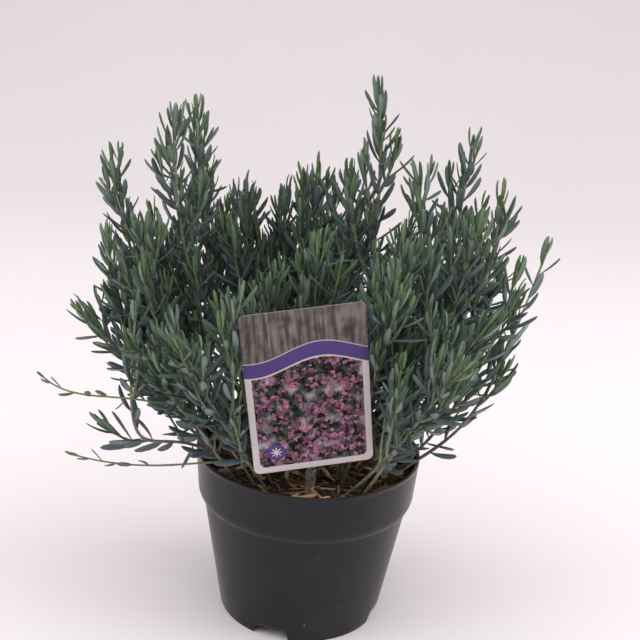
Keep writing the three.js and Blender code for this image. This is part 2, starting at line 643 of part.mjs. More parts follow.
// Takes a leaf where it stays clear of everything placed so far, and keeps its rod
function tryLeaf(leaf, owner, rods) {
  const at = (distance) => leaf.root.clone().addScaledVector(leaf.along, distance);
  const radius = leaf.width * LEAF_GIRTH;
  const rod = { owner, a: at(LEAF_SINK), b: at(leaf.length), radius, wood: false };
  if (![0.2, 0.5, 0.75, 1].every((share) => isClear(at(leaf.length * share)))) return false;
  const crosses = rods.some((other) => {
    const own = other.owner === owner;
    if (own && other.wood) return false;
    const wanted = radius + other.radius + (own ? -OWN_LEAF_OVERLAP : LEAF_CLEARANCE);
    return segmentDistance(rod.a, rod.b, other.a, other.b) < wanted;
  });
  if (!crosses) rods.push(rod);
  return !crosses;
}

// From the tip down, of every few neighbouring leaves the first that has room is modelled
function chooseLeaves(leaves, owner, rods, tipStride, stride) {
  const chosen = [];
  let next = leaves.length - 1;
  while (next >= 0) {
    const reach = chosen.length ? stride : tipStride;
    const found = leaves.slice(Math.max(0, next - reach + 1), next + 1).reverse()
      .find((leaf) => tryLeaf(leaf, owner, rods));
    if (found) chosen.push(found);
    next -= reach;
  }
  return chosen;
}

function makeStems(stems) {
  const rods = stems.flatMap(woodRods);
  return stems.map((stem) => {
    const scale = stem.trailing ? TRAILING_SIZE : 1;
    const bare = stem.trailing ? TRAILING_BARE_SHARE : BARE_SHARE;
    const seed = stem.index * 1000;
    const stemLeaves = leavesAlong(stem.curve, seed, bare, scale, stem.sparse);
    const leaves = chooseLeaves(stemLeaves, stem.index, rods, 2, 4);
    const wood = [taperedTube(stem.curve, 0, STEM_BASE_RADIUS, STEM_TIP_RADIUS, STEM_STEPS, STEM_SIDES)];
    for (const { curve, order } of stem.shoots.slice(0, SHOOTS_MODELLED)) {
      const radii = [SHOOT_BASE_RADIUS, SHOOT_TIP_RADIUS];
      wood.push(taperedTube(curve, SHOOT_ROOT_SHARE, ...radii, SHOOT_STEPS, SHOOT_SIDES));
      const shootLeaves = leavesAlong(curve, seed + (order + 1) * 100, SHOOT_BARE_SHARE, scale);
      leaves.push(...chooseLeaves(shootLeaves, stem.index, rods, 3, 3));
    }
    const whole = wasm.Manifold.union([...wood, ...leaves.map(leafSolid)]);
    return named(`stem_${stem.name}`, toGeometry(largestBody(whole)), leafGreen);
  });
}

// A hole in the soil for each stem, as long as the stem runs below the tops of the chips
function stemHoles(stems) {
  return stems.map(({ curve }) => {
    let share = 0;
    while (curve.getPointAt(share).z < SOIL_TOP + CHIP_TOPS + 3) share += 0.01;
    const start = curve.getPointAt(0).addScaledVector(curve.getTangentAt(0), -2 * GAP);
    const sleeve = new THREE.LineCurve3(start, curve.getPointAt(share));
    const bow = sleeve.getPoint(0.5).distanceTo(curve.getPointAt(share / 2));
    const grown = STEM_BASE_RADIUS + HOLE_CLEARANCE + bow;
    return taperedTube(sleeve, 0, grown, grown, 1, 4);
  });
}

const plant = growWood();
const group = new THREE.Group();
group.add(makePot(), makeSoil([...stemHoles(plant), stakeHole()]), makeCard(), makeStake());
makeStems(plant).forEach((stem) => group.add(stem));

export default group;
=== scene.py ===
"""Finishes the potted bog rosemary around its packed frame.

The moulded pot, the peat with its bark mulch, every leafy stem, and the plant label with its stake
are surfaces worked out with numpy. All sizes are in metres, written in millimetres times MM.
"""

import math

import bpy
import numpy as np
from mathutils import Matrix, Vector


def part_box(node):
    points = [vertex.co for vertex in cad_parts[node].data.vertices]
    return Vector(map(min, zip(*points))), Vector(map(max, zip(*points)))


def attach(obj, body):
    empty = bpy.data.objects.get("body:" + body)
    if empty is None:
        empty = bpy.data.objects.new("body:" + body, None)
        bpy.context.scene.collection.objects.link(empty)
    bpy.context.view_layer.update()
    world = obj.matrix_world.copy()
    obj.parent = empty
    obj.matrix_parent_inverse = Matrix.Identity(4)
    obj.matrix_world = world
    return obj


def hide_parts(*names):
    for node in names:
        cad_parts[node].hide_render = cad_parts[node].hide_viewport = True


bl_info = {
    "name": "Potted Bog Rosemary",
    "version": (1, 0, 0),
    "blender": (4, 5, 0),
    "location": "3D View > Sidebar > Bog Rosemary",
    "description": "Builds a bog rosemary shrub with its nursery pot, mulch, plant label and stake",
    "category": "Object",
}

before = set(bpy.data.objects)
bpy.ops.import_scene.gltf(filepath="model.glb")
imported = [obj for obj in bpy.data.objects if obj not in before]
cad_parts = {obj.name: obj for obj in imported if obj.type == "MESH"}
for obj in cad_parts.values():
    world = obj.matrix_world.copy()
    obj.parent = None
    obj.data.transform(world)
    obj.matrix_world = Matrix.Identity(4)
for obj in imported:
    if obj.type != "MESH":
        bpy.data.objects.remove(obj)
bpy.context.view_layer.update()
MM = 0.001
BODY = "root"

POT_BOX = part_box("pot")
POT_HEIGHT = POT_BOX[1].z
RIM_RADIUS = POT_BOX[1].x
FOOT_RADIUS = 57 * MM
BODY_TOP_RADIUS = 71.6 * MM
COLLAR_FOOT_Z = 85 * MM
COLLAR_STEP = 3.2 * MM
COLLAR_ROUND = 9 * MM
POT_WALL = 2 * MM
BASE_PLATE_Z = 8 * MM
NOTCH_WIDTH = 26 * MM
NOTCH_HEIGHT = 7.5 * MM
NOTCH_CORNER = 2 * MM
NOTCH_ANGLES = (-108, -18, 72, 162)
DRAIN_RADIUS = 5 * MM
DRAIN_RING_RADIUS = 38 * MM
DRAIN_COUNT = 6
DRAIN_SIDES = 24
POT_SIDES = 192

SOIL_TOP = 110 * MM
SOIL_RELIEF = 1.3 * MM
LONG_WAVE = 0.12 / MM
SHORT_WAVE = 0.23 / MM
CHIP_TOPS = 4 * MM
SOIL_GRID = (60, 150)
MULCH_REACH = 71 * MM
FIBRE_REACH = 70 * MM
MULCH_EDGE = 72 * MM

CARD_WIDTH = 76 * MM
CARD_HEIGHT = 112 * MM
CARD_THICKNESS = 0.8 * MM
CARD_CORNER = 4 * MM
CARD_CENTRE = np.array([-2, -72.6, 190]) * MM
CARD_TURN = math.radians(10)
CARD_LEAN = math.radians(8)
CARD_ROLL = math.radians(-8.5)
STAKE_WIDTH = 6.5 * MM
STAKE_THICKNESS = 1.2 * MM
STAKE_RIB = 3 * MM
STAKE_FOOT = -107 * MM
STAKE_TOP = -22 * MM
STAKE_POINT = 12 * MM
STAKE_SIDE = 6.7 * MM
GAP = 0.3 * MM

# The print, in centimetres from the middle of the card: half the sides of the pale border's inner
# edge and its corner, the star, the band, and the scale, size, shift and strength of each layer of
# blossoms
PRINT_HALF = (3.38, 5.15)
PRINT_CORNER = 0.35
STAR_PLACE = (-2.3, -4.1)
BAND_WIDTH = 0.95
BLOSSOM_LAYERS = (
    (1.5, 0.46, 0.0, 0.5), (1.9, 0.44, 2.0, 0.85), (2.3, 0.42, 4.0, 1.15), (2.9, 0.42, 6.0, 1.5),
)

# In millimetres, as the rows of the stems are
STEM_ROOT_Z = 96
TIP_LEAF_REACH = 13

STEM_BASE_RADIUS = 1.7 * MM
STEM_TIP_RADIUS = 0.7 * MM
SHOOT_BASE_RADIUS = 1.05 * MM
SHOOT_TIP_RADIUS = 0.6 * MM
GOLDEN_ANGLE = math.radians(137.508)
BASE_SHARE = 0.36
BEND_SHARE = 0.8
BEND_RISE = 0.42
PATH_STEPS = 200

# Each main stem, in millimetres: the place of its top leaf, then its foot, bend and second bend where
# it has its own. Reach scales its side shoots, twigs is how many of them it keeps, and sparse is how
# much wider its leaves stand below the tip. The rows are in the order of the packed stems.
STEMS = (
    dict(name="tall_right", tip=(28, 10, 372), base=(9, 4), bend=(46, 12, 240), reach=0.65, twigs=8),
    dict(name="tall_inner", tip=(52, 0, 324), base=(20, -4), bend=(88, -6, 230), reach=0.75, twigs=7),
    dict(name="right_upper", tip=(93, 20, 345), base=(28, 10), bend=(90, 18, 205), reach=0.7, twigs=7),
    dict(name="right_high", tip=(113, 2, 314), base=(38, 2), bend=(114, 2, 190), reach=0.75, twigs=6),
    dict(name="right_side", tip=(124, -30, 276), base=(44, -16), bend=(112, -34, 170), reach=0.6, twigs=6),
    dict(name="right_low", tip=(157, 36, 272), base=(36, -26), bend=(103, -57, 172),
         turn=(104, -42, 142), reach=0.3, sparse=3.0, twigs=2),
    dict(name="right_inner", tip=(98, -24, 302), base=(30, -14), bend=(86, -26, 200), twigs=7),
    dict(name="front_right", tip=(72, -60, 244), base=(12, -46), bend=(72, -66, 150)),
    dict(name="front_mid", tip=(50, -36, 291), base=(16, -20), bend=(52, -40, 200)),
    dict(name="left_high", tip=(-142, 10, 320), base=(-46, 8), bend=(-119, 6, 188), reach=0.6, twigs=8),
    dict(name="left_crown", tip=(-100, 6, 350), base=(-32, -1), bend=(-94, 2, 205), reach=0.65),
    dict(name="left_crown_back", tip=(-88, 32, 354), base=(-28, 13), bend=(-84, 30, 205), reach=0.65),
    dict(name="left_mid", tip=(-53, 30, 303), base=(-16, 8), bend=(-52, 26, 200)),
    dict(name="mid_left", tip=(-28, 42, 295), base=(-8, 16), bend=(-26, 40, 200)),
    dict(name="mid_back", tip=(-6, 54, 314), base=(-1, 26), bend=(-8, 52, 210)),
    dict(name="mid_right", tip=(15, 34, 316), base=(4, 14), bend=(16, 34, 210)),
    dict(name="left_side", tip=(-112, -21, 286), base=(-36, -12), bend=(-108, -22, 178)),
    dict(name="left_out", tip=(-137, -18, 273), base=(-44, -6), bend=(-130, -15, 178),
         reach=0.55, twigs=8),
    dict(name="left_low", tip=(-157, -24, 227), base=(-43, -17), bend=(-118, -24, 176),
         reach=0.8, twigs=7),
    dict(name="left_rise", tip=(-110, -52, 240), base=(-36, -28), bend=(-92, -50, 188),
         turn=(-122, -62, 78), reach=0.45, sparse=1.6, twigs=2),
    dict(name="trail_low", tip=(-165, -50, 129), base=(-30, -20), bend=(-35, -50, 150),
         turn=(-80, -50, 108), trailing=True),
    dict(name="trail_high", tip=(-167, -92, 204), base=(-28, -42), bend=(-72, -70, 211),
         turn=(-127, -92, 168), trailing=True),
    dict(name="back_1", tip=(132, 62, 248), base=(40, 19), bend=(100, 47, 178), twigs=5),
    dict(name="back_2", tip=(98, 94, 272), base=(32, 30), bend=(78, 74, 180), twigs=8),
    dict(name="back_3", tip=(52, 106, 228), base=(17, 38), bend=(40, 86, 168)),
    dict(name="back_4", tip=(4, 110, 266)),
    dict(name="back_5", tip=(-46, 101, 244)),
    dict(name="back_6", tip=(-92, 98, 292)),
    dict(name="back_7", tip=(-130, 62, 262), base=(-40, 20), bend=(-102, 49, 180)),
    dict(name="back_8", tip=(62, 74, 246)),
    dict(name="back_9", tip=(24, 88, 272)),
    dict(name="back_10", tip=(-26, 88, 262)),
    dict(name="back_11", tip=(-66, 72, 264)),
    dict(name="front_1", tip=(-112, -84, 226), base=(-38, -38), bend=(-80, -66, 174)),
    dict(name="front_2", tip=(-84, -108, 238), base=(-18, -45), bend=(-60, -80, 178)),
    dict(name="front_3", tip=(-52, -86, 256), base=(-18, -34)),
    dict(name="front_4", tip=(90, -110, 230), base=(32, -45), bend=(68, -84, 190), twigs=6),
    dict(name="front_5", tip=(112, -62, 250), base=(29, -34), bend=(80, -56, 196), twigs=6),
    dict(name="front_6", tip=(48, -70, 272), base=(20, -32)),
    dict(name="behind_label_1", tip=(-30, -44, 264), base=(-10, -22)),
    dict(name="behind_label_2", tip=(-2, -36, 282), base=(2, -14)),
)

SHOOT_PLACES = (0.47, 0.66, 0.83, 0.38, 0.56, 0.75)
SHOOT_JITTER = 0.06
SHOOT_SPREAD = math.radians(34)
SHOOT_BELOW_TIP = 0.85
SHOOT_SHORTEST = 24 * MM
SHOOT_LONGEST = 92 * MM
SHOOT_KNEE = 0.42
SHOOT_RISE = 0.6
SHOOT_TURN = (0.45, 0.5, 0.12)
SHOOT_CLEARANCE = 6 * MM
SHOOT_TRIES = 7
SHOOT_TRY_TURN = 0.37
CLEAR_MARGIN = 3 * MM
CARD_VIEW_DEPTH = 60 * MM

# A thin straw-coloured stem that leans from the mulch at the front behind the card
STRAW_STEM = ((-38, -43, 107), (-33, -33, 116), (-24, -12, 118), (-16, 2, 126))

# Shorter shoots that fill the shrub between the shoots above, with less room to their neighbours
FILLER_PLACES = (0.9, 0.6, 0.42, 0.7, 0.33, 0.5, 0.79)
FILLER_CLEARANCE = 3.4 * MM
FILLER_SHORTEST = 22 * MM
FILLER_LONGEST = 55 * MM


def noise(seed):
    """The same number between 0 and 1 for the same seed: the fraction of a large multiple of a sine."""
    wave = np.sin(np.asarray(seed, float) * 12.9898 + 78.233) * 43758.5453
    return wave - np.floor(wave)


def unit(vectors):
    """Vectors divided by their own lengths."""
    return vectors / np.linalg.norm(vectors, axis=-1, keepdims=True)


def mix(low, high, share):
    """The value a share of the way from low to high."""
    return low + (high - low) * share


class Shell:
    """The points, faces and marks of one piece, gathered surface by surface."""

    MARKS = ("youth", "tint", "along", "across", "under")

    def __init__(self):
        self.points = []
        self.faces = []
        self.slots = []
        self.smooth = []
        self.marks = {name: [] for name in self.MARKS}
        self.count = 0

    def add(self, points, faces, slot=0, rounded=True, **marks):
        """Adds a surface: faces are arrays of corner numbers, one array for each number of corners."""
        points = points.reshape(-1, 3)
        for corners in faces:
            self.faces.append(corners.reshape(-1, corners.shape[-1]) + self.count)
            rows = len(self.faces[-1])
            self.slots.append(np.full(rows, slot))
            self.smooth.append(np.full(rows, rounded))
        for name in self.MARKS:
            value = np.asarray(marks.get(name, 0.0), float)
            self.marks[name].append(np.broadcast_to(value, (len(points),)).astype(float))
        self.points.append(points)
        self.count += len(points)

    def piece(self, name, materials, slot, *nodes):
        """Makes the mesh object, which rides on the part's body and replaces the packed nodes given."""
        mesh = bpy.data.meshes.new(name)
        points = np.concatenate(self.points)
        corners = np.concatenate([f.ravel() for f in self.faces])
        sizes = np.concatenate([np.full(len(f), f.shape[1]) for f in self.faces])
        mesh.vertices.add(len(points))
        mesh.vertices.foreach_set("co", points.astype(np.float32).ravel())
        mesh.loops.add(len(corners))
        mesh.loops.foreach_set("vertex_index", corners.astype(np.int32))
        mesh.polygons.add(len(sizes))
        starts = np.concatenate([[0], np.cumsum(sizes)[:-1]])
        mesh.polygons.foreach_set("loop_start", starts.astype(np.int32))
        mesh.polygons.foreach_set("material_index", np.concatenate(self.slots).astype(np.int32))
        mesh.polygons.foreach_set("use_smooth", np.concatenate(self.smooth))
        for mark, values in self.marks.items():
            joined = np.concatenate(values)
            if joined.any():
                layer = mesh.attributes.new(mark, "FLOAT", "POINT")
                layer.data.foreach_set("value", joined.astype(np.float32))
        for material in materials:
            mesh.materials.append(material)
        mesh.update(calc_edges=True)
        mesh.validate()
        made = bpy.data.objects.new(name, mesh)
        bpy.context.scene.collection.objects.link(made)
        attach(made, BODY)
        if nodes:
            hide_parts(*nodes)
        return made


def grid_faces(rows, columns, wraps=True):
    """The four-cornered faces of a grid. Where it wraps, its last column meets the first."""
    across = columns if wraps else columns - 1
    row = np.arange(rows - 1)[:, None] * columns
    here = np.arange(across)[None, :]
    following = (here + 1) % columns
    corners = (row + here, row + following, row + columns + following, row + columns + here)
    return np.stack(np.broadcast_arrays(*corners), -1).reshape(-1, 4)


def tube_faces(rows, columns):
    """The faces of a closed tube: its grid and one many-cornered face at each end."""
    last = (rows - 1) * columns
    ends = np.array([np.arange(columns)[::-1], last + np.arange(columns)])
    return [grid_faces(rows, columns), ends]


def lathe(profile, angles):
    """A profile of radius and height carried around the upright axis, one row for each of its points."""
    radius, height = np.array(profile).T
    x = radius[:, None] * np.cos(angles)
    y = radius[:, None] * np.sin(angles)
    return np.stack([x, y, np.broadcast_to(height[:, None], x.shape)], -1)


def turned(turn, lean, roll):
    """The rotation of a thing that rolls about Y, then leans about X, then turns about Z."""
    rotation = Matrix.Rotation(turn, 3, "Z") @ Matrix.Rotation(lean, 3, "X") @ Matrix.Rotation(roll, 3, "Y")
    return np.array(rotation)


CARD_ROTATION = turned(CARD_TURN, CARD_LEAN, CARD_ROLL)
STAKE_ROTATION = turned(CARD_TURN, CARD_LEAN, 0)


def new_node(tree, kind, sockets=None, **settings):
    """Adds a node. Each socket given by name or number takes a value, or a link from another socket."""
    node = tree.nodes.new(kind)
    for name, value in settings.items():
        setattr(node, name, value)
    for key, value in (sockets or {}).items():
        if isinstance(value, bpy.types.NodeSocket):
            tree.links.new(value, node.inputs[key])
        else:
            node.inputs[key].default_value = value
    return node


def calculate(tree, operation, *values, clamp=False):
    """The output of a Math node."""
    sockets = dict(enumerate(values))
    return new_node(tree, "ShaderNodeMath", sockets, operation=operation, use_clamp=clamp).outputs[0]


def times(tree, first, second, clamp=False):
    """One value times another."""
    return calculate(tree, "MULTIPLY", first, second, clamp=clamp)


def vector_sum(tree, operation, *values, output="Vector"):
    """The output of a Vector Math node."""
    sockets = dict(enumerate(values))
    return new_node(tree, "ShaderNodeVectorMath", sockets, operation=operation).outputs[output]


def joined(tree, x, y, z):
    """A vector of three values."""
    return new_node(tree, "ShaderNodeCombineXYZ", {"X": x, "Y": y, "Z": z}).outputs["Vector"]


def parts_of(tree, vector):
    """The three values of a vector."""
    return new_node(tree, "ShaderNodeSeparateXYZ", {"Vector": vector}).outputs


def moved(tree, vector, **sockets):
    """A vector moved or scaled by a Mapping node."""
    return new_node(tree, "ShaderNodeMapping", {"Vector": vector, **sockets}).outputs["Vector"]


def cloud(tree, vector, scale, detail, output="Fac"):
    """A noise of several octaves."""
    sockets = {"Vector": vector, "Scale": scale, "Detail": detail}
    return new_node(tree, "ShaderNodeTexNoise", sockets).outputs[output]


def rescale(tree, value, low, high):
    """A value from 0 to 1 brought to the range from low to high."""
    sockets = {"Value": value, "To Min": low, "To Max": high}
    return new_node(tree, "ShaderNodeMapRange", sockets).outputs["Result"]


def ramp(tree, share, first, *others):
    """The colour at a share of the way along stops, each a position and a colour."""
    node = new_node(tree, "ShaderNodeValToRGB", {"Fac": share})
    stops = node.color_ramp.elements
    stops.remove(stops[1])
    stops[0].position, stops[0].color = first
    for position, colour in others:
        stops.new(position).color = colour
    return node.outputs["Color"]


def bumped(tree, height, strength, depth):
    """The normal of a height, by a Bump node."""
    sockets = {"Strength": strength, "Distance": depth, "Height": height}
    return new_node(tree, "ShaderNodeBump", sockets).outputs["Normal"]


def blend_colours(tree, share, low, high, blend_type="MIX"):
    """The colour a share of the way from low to high."""
    sockets = {0: share, 6: low, 7: high}
    node = new_node(tree, "ShaderNodeMix", sockets, data_type="RGBA", blend_type=blend_type)
    return node.outputs[2]


def step_between(tree, value, low, high):
    """An S curve of a value, 0 below low and 1 above high."""
    sockets = {"Value": value, "From Min": low, "From Max": high}
    node = new_node(tree, "ShaderNodeMapRange", sockets, interpolation_type="SMOOTHSTEP")
    return node.outputs["Result"]


def mark(tree, name):
    """The value of one of the piece's marks."""
    return new_node(tree, "ShaderNodeAttribute", attribute_name=name).outputs["Fac"]


def object_place(tree):
    """The place in the object's own frame."""
    return new_node(tree, "ShaderNodeTexCoord").outputs["Object"]


def sky_direction(tree):
    """The direction in which the sky is seen, for the world alone."""
    return new_node(tree, "ShaderNodeTexCoord").outputs["Generated"]


def paint(colour, strength=1.0):
    """A colour with its alpha, made lighter or darker by its strength."""
    return (*(min(1.0, strength * part) for part in colour[:3]), 1.0)


def new_group(name, inputs, outputs):
    """A shader node group with its sockets, and its input and output nodes."""
    tree = bpy.data.node_groups.new(name, "ShaderNodeTree")
    for label, kind in inputs:
        tree.interface.new_socket(label, in_out="INPUT", socket_type=f"NodeSocket{kind}")
    for label, kind in outputs:
        tree.interface.new_socket(label, in_out="OUTPUT", socket_type=f"NodeSocket{kind}")
    given = tree.nodes.new("NodeGroupInput")
    result = tree.nodes.new("NodeGroupOutput")
    return tree, given.outputs, result.inputs


def use_group(tree, name, **sockets):
    """Places a shader node group in a material with its own values."""
    named = {key.replace("_", " "): value for key, value in sockets.items()}
    group = bpy.data.node_groups[name]
    return new_node(tree, "ShaderNodeGroup", named, node_tree=group).outputs


def mottle(tree, vector, scale, low, high):
    """The mask of the Mottle group."""
    return use_group(tree, "Mottle", Vector=vector, Scale=scale, Low=low, High=high)["Mask"]


def fine_grain(tree, vector, scale, strength, depth):
    """The normal of the Fine Grain group."""
    grain = use_group(tree, "Fine Grain", Vector=vector, Scale=scale, Strength=strength, Depth=depth)
    return grain["Normal"]


def dusted(tree, colour, dust_colour, vector, amount):
    """The outputs of the Dust group: the dusted colour and its mask."""
    return use_group(tree, "Dust", Colour=colour, Dust_Colour=dust_colour, Vector=vector, Amount=amount)


def make_mottle_group():
    """Cloudy patches: a noise of several octaves, sharpened between two levels."""
    tree, given, result = new_group(
        "Mottle",
        [("Vector", "Vector"), ("Scale", "Float"), ("Low", "Float"), ("High", "Float")],
        [("Mask", "Float")],
    )
    sockets = {"Vector": given["Vector"], "Scale": given["Scale"], "Detail": 4.0, "Roughness": 0.55}
    patches = new_node(tree, "ShaderNodeTexNoise", sockets).outputs["Fac"]
    tree.links.new(step_between(tree, patches, given["Low"], given["High"]), result["Mask"])


def make_grain_group():
    """Fine relief: a noise read as a height, turned into a normal."""
    tree, given, result = new_group(
        "Fine Grain",
        [("Vector", "Vector"), ("Scale", "Float"), ("Strength", "Float"), ("Depth", "Float")],
        [("Normal", "Vector")],
    )
    sockets = {"Vector": given["Vector"], "Scale": given["Scale"], "Detail": 3.0, "Roughness": 0.6}
    height = new_node(tree, "ShaderNodeTexNoise", sockets).outputs["Fac"]
    tree.links.new(bumped(tree, height, given["Strength"], given["Depth"]), result["Normal"])


def make_dust_group():
    """Dust that lies on what faces up, and in a few patches elsewhere."""
    tree, given, result = new_group(
        "Dust",
        [("Colour", "Color"), ("Dust Colour", "Color"), ("Vector", "Vector"), ("Amount", "Float")],
        [("Colour", "Color"), ("Mask", "Float")],
    )
    normal = new_node(tree, "ShaderNodeNewGeometry").outputs["Normal"]
    up = parts_of(tree, normal)["Z"]
    facing = step_between(tree, up, 0.2, 1.0)
    patches = mottle(tree, given["Vector"], 45.0, 0.5, 0.75)
    spread = calculate(tree, "MULTIPLY_ADD", facing, 0.8, patches)
    mask = times(tree, spread, given["Amount"], clamp=True)
    tree.links.new(blend_colours(tree, mask, given["Colour"], given["Dust Colour"]), result["Colour"])
    tree.links.new(mask, result["Mask"])


def new_material(name):
    """A material with only an output node, and its node tree."""
    material = bpy.data.materials.new(name)
    material.use_nodes = True
    tree = material.node_tree
    tree.nodes.clear()
    return material, tree


def finish_material(material, sockets):
    """Adds the surface shader with its sockets, joins it to the output and gives the material back."""
    tree = material.node_tree
    shader = new_node(tree, "ShaderNodeBsdfPrincipled", sockets)
    output = tree.nodes.new("ShaderNodeOutputMaterial")
    tree.links.new(shader.outputs["BSDF"], output.inputs["Surface"])
    return material


def pot_plastic(colour):
    """Dark recycled plastic: satin and a little cloudy, with fine upright rubs, a little dust, and pale
    specks, most of them near the foot."""
    material, tree = new_material("Pot Plastic")
    place = object_place(tree)
    clouds = mottle(tree, place, 16.0, 0.3, 0.75)
    base = blend_colours(tree, clouds, paint(colour), paint(colour, 1.8))
    stretched = moved(tree, place, Scale=(1.0, 1.0, 0.12))
    rubs = mottle(tree, stretched, 260.0, 0.68, 0.8)
    base = blend_colours(tree, times(tree, rubs, 0.12), base, (0.1, 0.1, 0.105, 1))
    specks = new_node(tree, "ShaderNodeTexVoronoi", {"Vector": place, "Scale": 85.0}).outputs["Distance"]
    spots = step_between(tree, specks, 0.085, 0.05)
    low = step_between(tree, parts_of(tree, place)["Z"], 0.06, 0.0)
    spots = times(tree, spots, calculate(tree, "MULTIPLY_ADD", low, 0.5, 0.1))
    base = blend_colours(tree, spots, base, (0.3, 0.28, 0.25, 1))
    dust = dusted(tree, base, (0.16, 0.14, 0.12, 1), place, 0.05)
    rough = rescale(tree, clouds, 0.3, 0.42)
    rough = calculate(tree, "MULTIPLY_ADD", dust["Mask"], 0.5, rough)
    normal = fine_grain(tree, place, 1500.0, 0.18, 0.0003)
    return finish_material(
        material,
        {"Base Color": dust["Colour"], "Roughness": rough, "Normal": normal, "Specular IOR Level": 0.3,
         "Sheen Weight": 0.12, "Sheen Roughness": 0.25},
    )


def peat(colour):
    """Damp peat: dark crumbs, some of them brown and some with a fibre's colour."""
    material, tree = new_material("Peat")
    place = object_place(tree)
    crumbs = mottle(tree, place, 240.0, 0.4, 0.65)
    base = blend_colours(tree, crumbs, paint(colour), (0.075, 0.035, 0.016, 1))
    pale = mottle(tree, place, 420.0, 0.66, 0.74)
    base = blend_colours(tree, pale, base, (0.22, 0.12, 0.055, 1))
    normal = fine_grain(tree, place, 600.0, 0.9, 0.0012)
    return finish_material(material, {"Base Color": base, "Roughness": 0.92, "Normal": normal})


def bark_chip(colour):
    """Bark and wood chips: each its own brown, with grain along it and darker, damper ends."""
    material, tree = new_material("Bark Chips")
    tone = mark(tree, "tint")
    browns = ramp(
        tree, tone, (0.0, (0.014, 0.006, 0.003, 1)), (0.35, (0.06, 0.024, 0.01, 1)), (0.62, paint(colour)),
        (0.84, (0.62, 0.31, 0.12, 1)), (1.0, (1.0, 0.76, 0.48, 1)),
    )
    along = mark(tree, "along")
    across = mark(tree, "across")
    fibre = joined(tree, times(tree, along, 1.6), times(tree, across, 7.0), times(tree, tone, 57.0))
    grain = mottle(tree, fibre, 1.0, 0.35, 0.7)
    darker = blend_colours(tree, 1.0, browns, (0.45, 0.36, 0.3, 1), "MULTIPLY")
    base = blend_colours(tree, grain, darker, browns)
    from_middle = calculate(tree, "ABSOLUTE", calculate(tree, "SUBTRACT", along, 0.5))
    end = step_between(tree, from_middle, 0.38, 0.5)
    base = blend_colours(tree, times(tree, end, 0.5), base, (0.02, 0.01, 0.006, 1))
    normal = bumped(tree, grain, 0.6, 0.0006)
    return finish_material(material, {"Base Color": base, "Roughness": 0.78, "Normal": normal})


def stem_bark(green, tan, old):
    """Stems: green at the tip, tan below it and grey-brown at the foot, with fine lengthwise ridges. The
    darker tan and the dark foot are partly the bark's colour and partly painted shade under the foliage.
    """
    material, tree = new_material("Stem Bark")
    age = calculate(tree, "SUBTRACT", 1.0, mark(tree, "youth"))
    place = object_place(tree)
    patches = mottle(tree, place, 220.0, 0.35, 0.7)
    shifted = calculate(tree, "ADD", age, calculate(tree, "MULTIPLY_ADD", patches, 0.24, -0.12), clamp=True)
    # Painted shade, in part: the darker tan and the dark foot colour make the feet look shaded under the
    # foliage
    bark = ramp(
        tree, shifted, (0.04, paint(green)), (0.35, paint(tan)), (0.72, paint(tan, 0.42)), (1.0, paint(old))
    )
    along = times(tree, mark(tree, "along"), 60.0)
    across = times(tree, mark(tree, "across"), 9.0)
    ridge = joined(tree, along, across, mark(tree, "tint"))
    lines = mottle(tree, ridge, 1.0, 0.3, 0.7)
    shade = blend_colours(tree, 1.0, bark, (0.55, 0.52, 0.5, 1), "MULTIPLY")
    base = blend_colours(tree, lines, shade, bark)
    normal = bumped(tree, lines, 0.5, 0.0004)
    return finish_material(material, {"Base Color": base, "Roughness": 0.62, "Normal": normal})


